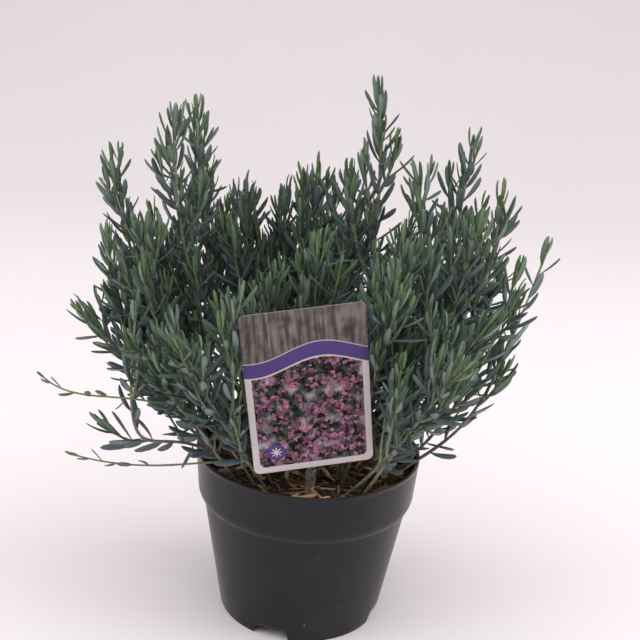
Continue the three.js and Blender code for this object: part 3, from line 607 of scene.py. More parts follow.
def leaf_skin(old, blue, young, under_colour):
    """Leaves: blue-green with a waxy bloom, yellow-green while young, a groove over the midrib and small
    net veins on top, and a pale underside with the midrib standing out. On top, the pale stripe over the
    midrib is partly the rib's own colour and partly painted highlight, and the pale rim along the margin
    is painted highlight."""
    material, tree = new_material("Leaf Skin")
    youth = mark(tree, "youth")
    tint = mark(tree, "tint")
    along = mark(tree, "along")
    under = mark(tree, "under")
    side = calculate(tree, "ABSOLUTE", mark(tree, "across"))
    place = object_place(tree)
    bloom = mottle(tree, place, 130.0, 0.3, 0.72)
    waxy = calculate(tree, "MULTIPLY_ADD", bloom, 0.4, times(tree, tint, 0.6))
    top = blend_colours(tree, waxy, paint(old), paint(blue))
    deeper = (0.72 * young[0], 0.8 * young[1], 0.9 * young[2])
    fresh = blend_colours(tree, tint, paint(young), paint(deeper))
    top = blend_colours(tree, youth, top, fresh)
    vein = joined(tree, times(tree, along, 26.0), times(tree, side, 3.2), times(tree, tint, 31.0))
    cells = new_node(
        tree, "ShaderNodeTexVoronoi", {"Vector": vein, "Scale": 1.0}, feature="DISTANCE_TO_EDGE"
    ).outputs["Distance"]
    net = step_between(tree, cells, 0.12, 0.0)
    top = blend_colours(tree, times(tree, net, 0.16), top, (0.02, 0.045, 0.04, 1))
    midrib = step_between(tree, side, 0.2, 0.04)
    # The pale stripe over the midrib on top: partly the rib's own colour, partly painted highlight
    midrib_and_highlight_share = times(tree, midrib, 0.42)
    midrib_and_highlight_colour = blend_colours(tree, youth, (0.15, 0.23, 0.19, 1), paint(young))
    top = blend_colours(tree, midrib_and_highlight_share, top, midrib_and_highlight_colour)
    # Painted highlight: a pale rim along each leaf's margin, where the rolled edge catches the light
    edge = times(tree, step_between(tree, side, 0.8, 1.0), 0.3)
    margin_highlight_colour = blend_colours(tree, youth, (0.17, 0.22, 0.2, 1), paint(young))
    top = blend_colours(tree, edge, top, margin_highlight_colour)
    pale = blend_colours(tree, youth, paint(under_colour), paint(young, 1.15))
    soft = times(tree, bloom, 0.35)
    bottom = blend_colours(tree, soft, pale, blend_colours(tree, youth, paint(blue), paint(young)))
    bottom = blend_colours(tree, times(tree, midrib, 0.6), bottom, (0.3, 0.34, 0.25, 1))
    beneath = step_between(tree, under, 0.55, 0.9)
    base = blend_colours(tree, beneath, top, bottom)
    tip = times(tree, step_between(tree, along, 0.955, 1.0), 0.6)
    base = blend_colours(tree, tip, base, (0.045, 0.035, 0.03, 1))
    rough = rescale(tree, waxy, 0.33, 0.52)
    relief = calculate(tree, "MULTIPLY_ADD", midrib, -0.8, times(tree, net, -0.5))
    return finish_material(
        material,
        {"Base Color": base, "Roughness": rough, "Normal": bumped(tree, relief, 0.5, 0.0003),
         "Specular IOR Level": 0.5, "Sheen Weight": 0.1, "Sheen Roughness": 0.5},
    )


def between(tree, value, low, high, blur=0.03):
    """1 between two levels of a value, with soft edges."""
    rising = step_between(tree, value, low - blur, low + blur)
    return times(tree, rising, step_between(tree, value, high + blur, high - blur))


def wood_grain(tree, uv, panel):
    """Weathered wood: stretched lines, broken by stains."""
    lines = cloud(tree, moved(tree, uv, Scale=(4.0, 0.35, 1.0)), 1.0, 6.0)
    stains = cloud(tree, uv, 0.9, 3.0)
    grain = times(tree, step_between(tree, lines, 0.3, 0.68), step_between(tree, stains, 0.25, 0.6))
    return blend_colours(tree, grain, paint(panel, 0.28), paint(panel, 1.25))


def meadow_of_blossoms(tree, uv, blossom):
    """Dark leaves with some haze, under four layers of small flowers. A flower is the part of a cell that
    lies nearer its middle than a reach, which swells five times around."""
    blur = cloud(tree, uv, 2.6, 3.0, "Color")
    shift = vector_sum(tree, "SUBTRACT", blur, (0.5, 0.5, 0.5))
    shift = vector_sum(tree, "MULTIPLY", shift, (0.55, 0.55, 0.55))
    loose = vector_sum(tree, "ADD", uv, shift)
    greens = step_between(tree, cloud(tree, loose, 2.1, 5.0), 0.42, 0.66)
    meadow = blend_colours(tree, greens, (0.003, 0.004, 0.004, 1), (0.045, 0.065, 0.048, 1))
    haze = cloud(tree, moved(tree, loose, Location=(7, 3, 0)), 0.8, 4.0)
    meadow = blend_colours(tree, step_between(tree, haze, 0.5, 0.72), meadow, (0.42, 0.4, 0.45, 1))
    clusters = cloud(tree, moved(tree, uv, Location=(2, 9, 0)), 0.85, 2.0)
    for scale, size, turn, strength in BLOSSOM_LAYERS:
        place = moved(tree, loose, Location=(turn, turn * 1.7, 0), Scale=(scale,) * 3)
        sockets = {"Vector": place, "Scale": 1.0, "Randomness": 0.95}
        cell = new_node(tree, "ShaderNodeTexVoronoi", sockets).outputs
        away = parts_of(tree, vector_sum(tree, "SUBTRACT", place, cell["Position"]))
        angle = calculate(tree, "ARCTAN2", away["Y"], away["X"])
        petals = calculate(tree, "COSINE", times(tree, angle, 5.0))
        reach = calculate(tree, "MULTIPLY_ADD", petals, 0.16 * size, 0.84 * size)
        flower = step_between(tree, calculate(tree, "SUBTRACT", cell["Distance"], reach), 0.05, -0.08)
        own = new_node(tree, "ShaderNodeSeparateColor", {"Color": cell["Color"]}).outputs
        grown = step_between(tree, calculate(tree, "ADD", own["Red"], clusters), 0.86, 0.9)
        bright = times(tree, step_between(tree, cell["Distance"], 0.0, size), own["Green"])
        petal = blend_colours(tree, bright, paint(blossom, 0.3 * strength), paint(blossom, strength))
        meadow = blend_colours(tree, times(tree, flower, grown), meadow, petal)
    return meadow


def add_star(tree, uv, x, y, picture, card, violet):
    """A star on a round dot: the star's edge swells eight times around, as a power of a cosine."""
    dot = vector_sum(tree, "DISTANCE", uv, (*STAR_PLACE, 0), output="Value")
    picture = blend_colours(tree, step_between(tree, dot, 0.62, 0.58), picture, paint(violet))
    from_star_y = calculate(tree, "SUBTRACT", y, STAR_PLACE[1])
    spoke = calculate(tree, "ARCTAN2", from_star_y, calculate(tree, "SUBTRACT", x, STAR_PLACE[0]))
    rays = calculate(tree, "ABSOLUTE", calculate(tree, "COSINE", times(tree, spoke, 4.0)))
    edge = calculate(tree, "MULTIPLY_ADD", calculate(tree, "POWER", rays, 3.0), 0.26, 0.12)
    star = step_between(tree, calculate(tree, "SUBTRACT", dot, edge), 0.02, -0.02)
    return blend_colours(tree, star, picture, paint(card))


def inside_border(tree, x, y):
    """1 inside the pale border, whose inner edge is a rectangle with round corners."""
    past_x = calculate(tree, "SUBTRACT", calculate(tree, "ABSOLUTE", x), PRINT_HALF[0] - PRINT_CORNER)
    past_y = calculate(tree, "SUBTRACT", calculate(tree, "ABSOLUTE", y), PRINT_HALF[1] - PRINT_CORNER)
    past_x = calculate(tree, "MAXIMUM", past_x, 0.0)
    corner = joined(tree, past_x, calculate(tree, "MAXIMUM", past_y, 0.0), 0.0)
    return step_between(tree, vector_sum(tree, "LENGTH", corner, output="Value"), 0.37, 0.34)


def label_print(card, panel, violet, blossom):
    """Printed plastic card: a grey wooden panel that ends in a curve, a violet band along that curve, and
    below it a meadow of small blossoms inside a pale border, with a star on a dot in its corner. Read
    from the card's UV map, in centimetres from its middle."""
    material, tree = new_material("Label Print")
    uv = new_node(tree, "ShaderNodeUVMap", uv_map="Print").outputs["UV"]
    x = parts_of(tree, uv)["X"]
    y = parts_of(tree, uv)["Y"]
    # The curve falls from left to right: a height plus a slow sine of the distance along
    wave = calculate(tree, "SINE", calculate(tree, "MULTIPLY_ADD", x, 0.75, 0.9))
    above = calculate(tree, "SUBTRACT", y, calculate(tree, "MULTIPLY_ADD", wave, 0.55, 1.9))
    over_curve = step_between(tree, above, -0.02, 0.02)
    meadow = meadow_of_blossoms(tree, uv, blossom)
    picture = blend_colours(tree, over_curve, meadow, wood_grain(tree, uv, panel))
    picture = blend_colours(tree, between(tree, above, 0.0, BAND_WIDTH), picture, paint(violet))
    picture = blend_colours(tree, between(tree, above, -0.1, 0.0), picture, paint(card))
    picture = blend_colours(tree, between(tree, above, BAND_WIDTH, 1.0), picture, paint(card))
    picture = add_star(tree, uv, x, y, picture, card, violet)
    to_edge = step_between(tree, above, -0.12, -0.08)
    printed = calculate(tree, "MAXIMUM", inside_border(tree, x, y), to_edge)
    printed = times(tree, printed, mark(tree, "along"))
    base = blend_colours(tree, printed, paint(card), picture)
    place = object_place(tree)
    dust = dusted(tree, base, (0.4, 0.37, 0.36, 1), place, 0.03)
    normal = fine_grain(tree, place, 900.0, 0.06, 0.0003)
    rough = calculate(tree, "MULTIPLY_ADD", dust["Mask"], 0.5, 0.42)
    return finish_material(
        material,
        {"Base Color": dust["Colour"], "Roughness": rough, "Normal": normal, "Specular IOR Level": 0.1},
    )


def clear_plastic(colour):
    """Clear stake plastic with a blue cast and fine lengthwise scratches."""
    material, tree = new_material("Clear Stake Plastic")
    place = object_place(tree)
    stretched = moved(tree, place, Scale=(1.0, 1.0, 0.1))
    scratches = mottle(tree, stretched, 900.0, 0.62, 0.8)
    rough = calculate(tree, "MULTIPLY_ADD", scratches, 0.15, 0.04)
    base = blend_colours(tree, scratches, paint(colour), (0.8, 0.83, 0.86, 1))
    sockets = {"Base Color": base, "Roughness": rough, "Transmission Weight": 0.94, "IOR": 1.45}
    return finish_material(material, sockets)


class Path:
    """A Bezier curve read by the share of its length, from a table of straight steps."""

    def __init__(self, *controls):
        self.controls = np.array(controls, float)
        self.steps = np.linspace(0, 1, PATH_STEPS + 1)
        places = self.raw(self.steps, self.controls)
        steps = np.linalg.norm(np.diff(places, axis=0), axis=1)
        self.sums = np.concatenate([[0], np.cumsum(steps)])
        self.length = self.sums[-1]

    @staticmethod
    def raw(t, controls):
        """The Bernstein sum of the controls at each t."""
        degree = len(controls) - 1
        t = np.asarray(t)[:, None]
        return sum(
            math.comb(degree, k) * t ** k * (1 - t) ** (degree - k) * controls[k] for k in range(degree + 1)
        )

    def own(self, shares):
        """The curve's own parameter where the share of its length is reached."""
        return np.interp(np.atleast_1d(shares) * self.length, self.sums, self.steps)

    def points(self, shares):
        """The places at shares of the length."""
        return self.raw(self.own(shares), self.controls)

    def tangents(self, shares):
        """Unit directions: the Bernstein sum of the differences between neighbouring controls."""
        return unit(self.raw(self.own(shares), np.diff(self.controls, axis=0)))


def sideways(tangents):
    """Two directions square to each tangent: Y crossed with it, and it crossed with that."""
    first = unit(np.cross([0.0, 1.0, 0.0], tangents))
    return first, np.cross(tangents, first)


def outwards(tangents, azimuths):
    """The direction square to each tangent at an azimuth about it."""
    first, second = sideways(tangents)
    azimuths = np.atleast_1d(azimuths)[:, None]
    return np.cos(azimuths) * first + np.sin(azimuths) * second


def stem_path(row):
    """The curve of a main stem: it ends one leaf short of its tip."""
    tip = np.array(row["tip"], float)
    foot = row.get("base", tip[:2] * BASE_SHARE)
    start = np.array([foot[0], foot[1], STEM_ROOT_Z])
    rise = STEM_ROOT_Z + BEND_RISE * (tip[2] - STEM_ROOT_Z)
    knee = np.array(row.get("bend", (tip[0] * BEND_SHARE, tip[1] * BEND_SHARE, rise)), float)
    last = np.array(row.get("turn", knee), float)
    end = tip - TIP_LEAF_REACH * unit(tip - last)
    controls = (start, knee, last, end) if "turn" in row else (start, knee, end)
    return Path(*(MM * np.array(controls)))


def shoot_path(stem, place, azimuth, length):
    """The curve of a side shoot: it leaves its stem at an angle and then turns up, in a direction that
    is a sum of the stem's own, straight up and outwards."""
    start = stem.points(place)[0]
    tangent = stem.tangents(place)
    out = outwards(tangent, azimuth)[0]
    tangent = tangent[0]
    knee = start + SHOOT_KNEE * length * (math.cos(SHOOT_SPREAD) * tangent + math.sin(SHOOT_SPREAD) * out)
    along, up, aside = SHOOT_TURN
    rising = unit(along * tangent + up * np.array([0, 0, 1.0]) + aside * out)
    return Path(start, knee, knee + SHOOT_RISE * length * rising)


def is_clear(points, margin=CLEAR_MARGIN):
    """Which points keep their distance from the pot's rim, the soil, the card and the stake."""
    radius = np.hypot(points[..., 0], points[..., 1])
    height = points[..., 2]
    at_rim = (radius > RIM_RADIUS - POT_WALL - MM - margin) & (radius < RIM_RADIUS + margin)
    in_pot = (at_rim & (height < POT_HEIGHT + margin)) | (
        (radius < RIM_RADIUS) & (height < SOIL_TOP + CHIP_TOPS + margin)
    )
    card = (points - CARD_CENTRE) @ CARD_ROTATION
    over_card = (np.abs(card[..., 0]) < CARD_WIDTH / 2 + margin) & (
        np.abs(card[..., 2]) < CARD_HEIGHT / 2 + margin
    )
    in_card = over_card & (card[..., 1] < margin + MM) & (card[..., 1] > -CARD_VIEW_DEPTH)
    stake = (points - CARD_CENTRE) @ STAKE_ROTATION
    in_stake = (
        (np.abs(stake[..., 0] - STAKE_SIDE) < STAKE_WIDTH / 2 + margin)
        & (stake[..., 2] < STAKE_TOP + margin)
        & (np.abs(stake[..., 1] - STAKE_RIB / 2) <= STAKE_RIB + margin)
    )
    return ~(in_pot | in_card | in_stake)


class Stem:
    """One main stem with its side shoots and the points that they take up."""

    def __init__(self, index, row):
        self.index = index
        self.name = row["name"]
        self.trailing = row.get("trailing", False)
        self.reach = row.get("reach", 1.0)
        self.sparse = row.get("sparse", 1.0)
        self.twigs = row.get("twigs", len(SHOOT_PLACES) + len(FILLER_PLACES))
        self.path = stem_path(row)
        self.shoots = []
        self.taken = self.path.points(np.linspace(0, 1, 13))


def grow_shoot(stems, stem, order, place, length, clearance):
    """The first azimuth at which a shoot of this length keeps clear of the rest, or None."""
    others = np.concatenate([other.taken for other in stems if other is not stem])
    for attempt in range(SHOOT_TRIES):
        azimuth = (stem.index * 2 + order + attempt * SHOOT_TRY_TURN) * GOLDEN_ANGLE
        path = shoot_path(stem.path, place, azimuth, length)
        points = path.points(np.linspace(0.25, 1, 13))
        if not is_clear(points).all():
            continue
        if np.linalg.norm(points[:, None] - others, axis=2).min() <= clearance:
            continue
        if np.linalg.norm(points[:, None] - stem.taken, axis=2).min() > MM:
            return path, points
    return None


def grow_wood():
    """All stems with their side shoots, longer ones first and the short fillers after them."""
    stems = [Stem(index, row) for index, row in enumerate(STEMS)]
    rounds = [(place, order, False) for order, place in enumerate(SHOOT_PLACES)]
    rounds += [(place, len(SHOOT_PLACES) + order, True) for order, place in enumerate(FILLER_PLACES)]
    for usual, order, filler in rounds:
        for stem in stems:
            if stem.trailing:
                continue
            seed = stem.index * 40 + order
            place = usual + SHOOT_JITTER * (noise(seed) - 0.5)
            wanted = stem.path.length * (0.12 + 0.5 * (1 - place)) * (0.8 + 0.4 * noise(seed + 7))
            room_above = SHOOT_BELOW_TIP * stem.path.length * (1 - place)
            wanted = min(wanted, room_above) * stem.reach
            if filler:
                length = np.clip(0.62 * wanted, FILLER_SHORTEST, FILLER_LONGEST)
            else:
                length = np.clip(wanted, SHOOT_SHORTEST, SHOOT_LONGEST)
            room = FILLER_CLEARANCE if filler else SHOOT_CLEARANCE
            grown = grow_shoot(stems, stem, order, place, length, room)
            if grown:
                stem.shoots.append((grown[0], order))
                stem.taken = np.concatenate([stem.taken, grown[1]])
    for stem in stems:
        stem.shoots = stem.shoots[:stem.twigs]
    return stems


WOOD_STEP = 2.8 * MM
RIDGE_WIND = 6 * MM
NODE_STEP = 4.2 * MM
OLD_WOOD_REACH = 190 * MM


def add_wood(shell, path, start_radius, end_radius, sides, seed, old=1.0, fresh=1.0):
    """A tapered tube along a path. Its radius goes evenly from the start's to the end's, times one plus a
    low sine that winds around it plus a narrow swelling at each leaf: a sine to the fourth power. The
    mark of youth falls off with the distance from the end, as a power of it."""
    rows = max(6, int(path.length / WOOD_STEP))
    shares = np.linspace(0, 1, rows)
    centres = path.points(shares)
    first, second = sideways(path.tangents(shares))
    angles = np.arange(sides) * 2 * np.pi / sides
    distance = shares * path.length
    ridges = np.sin(2 * angles + distance[:, None] / RIDGE_WIND + 6 * noise(seed))
    nodes = np.sin(distance / NODE_STEP * 2 * np.pi) ** 4
    radii = mix(start_radius, end_radius, shares)[:, None] * (1 + 0.08 * ridges + 0.12 * nodes[:, None])
    points = centres[:, None] + radii[..., None] * (
        np.cos(angles)[:, None] * first[:, None] + np.sin(angles)[:, None] * second[:, None]
    )
    youth = fresh * (1 - old * np.clip((1 - shares) * path.length / OLD_WOOD_REACH, 0, 1) ** 0.8)
    shell.add(
        points, tube_faces(rows, sides), slot=1,
        youth=np.repeat(youth, sides),
        along=np.repeat(distance * 10, sides),
        across=np.tile(np.abs(angles / np.pi - 1), rows),
        tint=noise(seed + 3),
    )


# The stations along a leaf, and the points of its section: how far out each lies, its height in half
# widths, its drop in skin depths, and how much of it is underside
LEAF_STATIONS = np.array([0.0, 0.09, 0.25, 0.5, 0.76, 0.93, 1.0])
SECTION_ACROSS = np.array([-1.0, -0.55, 0.0, 0.55, 1.0, 0.5, 0.0, -0.5])
SECTION_HEIGHT = np.array([-0.5, 0.0, -0.12, 0.0, -0.5, -0.36, -0.16, -0.36])
SECTION_DROP = np.array([0.3, 0.0, 0.0, 0.0, 0.3, 0.6, 1.5, 0.6])
SECTION_UNDER = np.array([0.5, 0.0, 0.0, 0.0, 0.5, 1.0, 1.0, 1.0])
LEAF_SKIN_DEPTH = 0.36 * MM
PETIOLE_SHARE = 0.22
MIDLINE_STEPS = 24
# How far below a tip the leaves are still narrow and upright, short as in a bud, and yellow-green
FRESH_REACH = 26 * MM
BUD_REACH = 9 * MM
YOUNG_REACH = 17 * MM
MOST_LEAVES = 200
LEAF_CLEARANCE = 1.2 * MM


def leaf_half_widths():
    """Half a leaf's width at its stations, as a rounded oblong: one less a power of the distance from its
    middle, to a power. Its tip is blunt and it narrows to a short stalk."""
    blade = np.clip((LEAF_STATIONS - 0.06) / 0.94, 0, 1)
    from_middle = np.abs(2 * blade ** 1.12 - 1)
    full = (1 - from_middle ** 2.5) ** 0.42
    return np.maximum(full, np.where(LEAF_STATIONS < 0.5, PETIOLE_SHARE, 0.2))


def add_leaves(shell, root, tangent, out, lean, curl, roll, length, width, youth, tint):
    """Leaves as closed blades. Each midline leaves its root at an angle to the stem and bends evenly, so
    its place is the sum of short steps along a turning direction; the section is carried along it."""
    count = len(length)
    stations = LEAF_STATIONS
    angle = lean[:, None] + curl[:, None] * np.linspace(0, 1, MIDLINE_STEPS + 1)
    start = np.zeros((count, 1))
    steps_along = np.concatenate([start, np.cumsum(np.cos(angle)[:, 1:], 1)], 1) / MIDLINE_STEPS
    steps_out = np.concatenate([start, np.cumsum(np.sin(angle)[:, 1:], 1)], 1) / MIDLINE_STEPS
    pick = np.round(stations * MIDLINE_STEPS).astype(int)
    up = steps_along[:, pick] * length[:, None]
    away = steps_out[:, pick] * length[:, None]
    centre = root[:, None] + up[..., None] * tangent[:, None] + away[..., None] * out[:, None]
    turn = (lean[:, None] + curl[:, None] * stations)[..., None]
    ahead = np.cos(turn) * tangent[:, None] + np.sin(turn) * out[:, None]
    face = np.sin(turn) * tangent[:, None] - np.cos(turn) * out[:, None]
    side = np.cross(ahead, face)
    twist = (roll[:, None] * stations)[..., None]
    face, side = np.cos(twist) * face + np.sin(twist) * side, np.cos(twist) * side - np.sin(twist) * face
    half = 0.5 * width[:, None] * leaf_half_widths()
    depth = LEAF_SKIN_DEPTH * np.minimum(1, half / (0.6 * MM))
    across = (half[..., None] * SECTION_ACROSS)[..., None]
    height = (half[..., None] * SECTION_HEIGHT - depth[..., None] * SECTION_DROP)[..., None]
    points = centre[:, :, None] + across * side[:, :, None] + height * face[:, :, None]
    rows, columns = len(stations), len(SECTION_ACROSS)
    first = np.arange(count)[:, None, None] * rows * columns
    faces = [corners[None] + first for corners in tube_faces(rows, columns)]
    shape = (count, rows, columns)
    shell.add(
        points, faces, slot=0,
        youth=np.broadcast_to(youth[:, None, None], shape).ravel(),
        tint=np.broadcast_to(tint[:, None, None], shape).ravel(),
        along=np.broadcast_to(stations[None, :, None], shape).ravel(),
        across=np.broadcast_to(SECTION_ACROSS, shape).ravel(),
        under=np.broadcast_to(SECTION_UNDER, shape).ravel(),
    )


def leaf_rule(path, seed, bare, scale, sizes, spacing, broad=1.0, sparse=1.0):
    """Where leaves stand on a stem or shoot, and how. Their distance from the tip is their number times
    the spacing, less near the tip, and each turns on by the golden angle. Lean, curl, roll, size and
    colour go from a tip's to a grown leaf's by an exponential of that distance, with some noise."""
    reach = path.length * (1 - bare)
    number = np.arange(MOST_LEAVES)
    wider = 1 + (sparse - 1) * number / (number + 4.0)
    to_tip = spacing * wider * number * (0.5 + 0.5 * number / (number + 6.0))
    number = number[to_tip < reach]
    to_tip = to_tip[to_tip < reach] + 0.6 * MM
    share = np.clip(1 - to_tip / path.length, 0, 1)
    own = seed + number
    tangent = path.tangents(share)
    out = outwards(tangent, number * GOLDEN_ANGLE + noise(seed + 0.5) * 2 * np.pi)
    fresh = np.exp(-to_tip / FRESH_REACH)
    bud = np.exp(-to_tip / BUD_REACH)
    stray = 34 * np.clip(noise(own + 0.15) - 0.8, 0, 1) / 0.2
    spread = mix(60, 42, np.clip(share / 0.8, 0, 1))
    lean = np.radians(mix(spread, 17, fresh) + stray + 24 * (noise(own + 0.25) - 0.5)) * (1 - 0.3 * bud)
    curl = np.radians(-9 - 8 * bud + 30 * (noise(own + 0.45) - 0.5))
    roll = np.radians(mix(110, 50, fresh) * (noise(own + 0.55) - 0.5))
    size = scale * (0.78 + 0.42 * noise(own + 0.75)) * (1 - 0.4 * bud)
    length = sizes[0] * size
    width = sizes[1] * np.sqrt(size * scale) * broad * (1 - 0.25 * bud) * mix(1.12, 0.84, fresh)
    width = width * (0.86 + 0.28 * noise(own + 0.65))
    bright = 0.45 + 0.75 * noise(seed + 0.6)
    young = bright * np.exp(-((to_tip / YOUNG_REACH) ** 1.4))
    youth = np.clip(young + 0.3 * (noise(own + 0.85) - 0.6), 0, 1)
    tint = noise(own + 0.95)
    rows = dict(
        root=path.points(share), tangent=tangent, out=out, lean=lean, curl=curl, roll=roll,
        length=length, width=width, youth=youth, tint=tint,
    )
    ahead = np.cos(lean)[:, None] * tangent + np.sin(lean)[:, None] * out
    reached = (length[:, None] * np.array([0.35, 0.7, 1.0]))[..., None]
    clear = is_clear(rows["root"][:, None] + ahead[:, None] * reached, LEAF_CLEARANCE).all(1)
    return {name: values[clear] for name, values in rows.items()}


def length_setting(name, description, default):
    """A length that a user can change."""
    return bpy.props.FloatProperty(name=name, description=description, default=default, unit="LENGTH")


def count_setting(name, description, default, least=0):
    """A number of things that a user can change."""
    return bpy.props.IntProperty(name=name, description=description, default=default, min=least)


def colour_setting(name, description, default):
    """A colour that a user can change. Its default is a linear value."""
    return bpy.props.FloatVectorProperty(
        name=name, description=description, default=default, subtype="COLOR", min=0, max=1
    )


def power_setting(name, description, default):
    """A light's power that a user can change."""
    return bpy.props.FloatProperty(name=name, description=description, default=default, min=0, unit="POWER")


class PotSettings(bpy.types.PropertyGroup):
    """Sizes and colour of the nursery pot."""

    height: length_setting("Height", "From the floor to the top of the rim", POT_HEIGHT)
    rim_radius: length_setting("Rim Radius", "Outer radius of the rim", RIM_RADIUS)
    foot_radius: length_setting("Foot Radius", "Outer radius of the foot ring", FOOT_RADIUS)
    wall: length_setting("Wall", "Thickness of the plastic at the rim", POT_WALL)
    colour: colour_setting("Colour", "Colour of the plastic", (0.0035, 0.0040, 0.0052))


class MulchSettings(bpy.types.PropertyGroup):
    """Amount and colours of the peat and the bark."""

    chips: count_setting("Chips", "Number of bark and wood chips", 460)
    fibres: count_setting("Fibres", "Number of thin fibres among the chips", 170)
    chip_length: length_setting("Chip Length", "Length of a usual chip", 12 * MM)
    peat: colour_setting("Peat", "Colour of the damp peat", (0.016, 0.009, 0.005))
    bark: colour_setting("Bark", "Colour of a usual chip", (0.24, 0.11, 0.045))
    twigs: count_setting("Twigs", "Number of dry twigs tried", 26, least=1)
    dead_leaves: count_setting("Dead Leaves", "Number of dead leaves on the mulch", 46, least=1)


class ShrubSettings(bpy.types.PropertyGroup):
    """Sizes and colours of the stems and leaves."""

    leaf_length: length_setting("Leaf Length", "Length of a grown leaf", 21.5 * MM)
    leaf_width: length_setting("Leaf Width", "Width of a grown leaf", 4.2 * MM)
    leaf_spacing: length_setting("Leaf Spacing", "Distance between leaves along a grown stem", 4.5 * MM)
    old_leaf: colour_setting("Old Leaf", "Colour of a grown leaf", (0.021, 0.039, 0.033))
    waxy_leaf: colour_setting("Waxy Leaf", "Colour of a grown leaf under its bloom", (0.091, 0.146, 0.165))
    young_leaf: colour_setting("Young Leaf", "Colour of the leaves at a tip", (0.092, 0.172, 0.043))
    underside: colour_setting("Underside", "Colour of a leaf's underside", (0.175, 0.23, 0.235))
    green_stem: colour_setting("Green Stem", "Colour of a stem's tip", (0.24, 0.29, 0.14))
    tan_stem: colour_setting("Tan Stem", "Colour of a stem below its tip", (0.43, 0.42, 0.32))
    # Partly painted shade: darker than the bark alone, for the feet in the shade under the foliage
    old_stem_and_shade: colour_setting("Old Stem", "Colour of a stem's foot", (0.085, 0.062, 0.042))


class LabelSettings(bpy.types.PropertyGroup):
    """Sizes and colours of the plant label and its stake."""

    width: length_setting("Width", "Width of the card", CARD_WIDTH)
    height: length_setting("Height", "Height of the card", CARD_HEIGHT)
    thickness: length_setting("Thickness", "Thickness of the card", CARD_THICKNESS)
    card: colour_setting("Card", "Colour of the card's border", (0.62, 0.56, 0.56))
    panel: colour_setting("Panel", "Colour of the grey panel", (0.19, 0.16, 0.155))
    violet: colour_setting("Violet", "Colour of the curved band and the dot", (0.085, 0.055, 0.2))
    blossom: colour_setting("Blossom", "Colour of the printed blossoms", (0.52, 0.2, 0.33))
    clear: colour_setting("Clear Plastic", "Colour of the stake", (0.86, 0.9, 0.94))


class StageSettings(bpy.types.PropertyGroup):
    """Floor, light and camera."""

    floor: colour_setting("Floor", "Colour of the floor and backdrop", (0.83, 0.784, 0.804))
    side_light: power_setting("Side Light", "Power of each side light", 17)
    top_light: power_setting("Top Light", "Power of the light overhead", 46)
    back_light: power_setting("Back Light", "Power of the light on the backdrop", 3)
    front_light: power_setting("Front Light", "Power of the light above the camera", 2)
    sky: bpy.props.FloatProperty(
        name="Sky", description="Strength of the light all round", default=0.8, min=0
    )


def pot_profile(pot):
    """The pot's section: out along the base plate, down the foot, up the wall and its collar, over the rim
    and down the inside. The collar's lower edge is a quarter of an ellipse."""
    wall = pot.wall
    foot = pot.foot_radius

    def body(z):
        return mix(foot, BODY_TOP_RADIUS, z / COLLAR_FOOT_Z)

    def collar(z):
        share = (z - COLLAR_FOOT_Z) / (pot.height - COLLAR_FOOT_Z)
        return mix(BODY_TOP_RADIUS + COLLAR_STEP, pot.rim_radius, share)

    round_top = COLLAR_FOOT_Z + COLLAR_ROUND
    quarter = np.linspace(0, np.pi / 2, 8)
    half = np.linspace(0, np.pi, 9)
    under = [(r, BASE_PLATE_Z) for r in np.linspace(2 * MM, body(BASE_PLATE_Z) - wall - MM, 12)]
    inner_foot = [(body(z) - wall, z) for z in np.linspace(BASE_PLATE_Z - MM, MM, 5)]
    foot_edge = [
        (foot - wall / 2 - 0.5 * wall * math.cos(a), 0.5 * MM * (1 - math.sin(a))) for a in half
    ]
    outside = [(body(z), z) for z in np.linspace(MM, COLLAR_FOOT_Z - 0.6 * MM, 24)]
    depth = collar(round_top) - BODY_TOP_RADIUS
    start = BODY_TOP_RADIUS + 0.15 * MM
    reach = depth - 0.15 * MM
    bulge = [(start + reach * math.sin(a), round_top - COLLAR_ROUND * math.cos(a)) for a in quarter]
    band = [(collar(z), z) for z in np.linspace(round_top + MM, pot.height - MM, 10)]
    lip_middle = pot.rim_radius - wall / 2
    lip = [(lip_middle + 0.5 * wall * math.cos(a), pot.height - MM + MM * math.sin(a)) for a in half]
    inner_band = [(collar(z) - wall, z) for z in np.linspace(pot.height - 2 * MM, round_top, 8)]
    inner_step = [(BODY_TOP_RADIUS - wall, COLLAR_FOOT_Z)]
    floor_top = BASE_PLATE_Z + wall
    inside = [(body(z) - wall, z) for z in np.linspace(COLLAR_FOOT_Z - 6 * MM, floor_top + MM, 14)]
    plate = [(r, floor_top) for r in np.linspace(body(floor_top) - wall - MM, 2 * MM, 12)]
    outer = under + inner_foot + foot_edge + outside + bulge + band + lip
    return outer + inner_band + inner_step + inside + plate


def notch_heights(angles, foot):
    """How high the foot's lower edge stands at each angle: level in each notch, with cut corners."""
    heights = np.zeros_like(angles)
    for centre in np.radians(NOTCH_ANGLES):
        apart = np.abs((angles - centre + np.pi) % (2 * np.pi) - np.pi) * foot
        inside = NOTCH_WIDTH / 2 - apart
        corner = (NOTCH_HEIGHT - NOTCH_CORNER) * inside / NOTCH_CORNER
        level = np.minimum(NOTCH_HEIGHT, NOTCH_HEIGHT - NOTCH_CORNER + inside - NOTCH_CORNER)
        cut = np.where(inside < NOTCH_CORNER, corner, level)
        heights = np.where(inside >= 0, np.maximum(heights, cut), heights)
    return heights


def pot_angles(foot):
    """Even angles around the pot, with more of them at the sides of the notches."""
    even = np.linspace(0, 2 * np.pi, POT_SIDES, endpoint=False)
    half = NOTCH_WIDTH / 2 / foot
    corner = NOTCH_CORNER / foot
    extra = [
        math.radians(centre) + sign * (half - step * corner)
        for centre in NOTCH_ANGLES for sign in (-1, 1) for step in (-0.05, 0.0, 0.5, 1.0, 2.0)
    ]
    return np.unique(np.round(np.mod(np.concatenate([even, extra]), 2 * np.pi), 5))


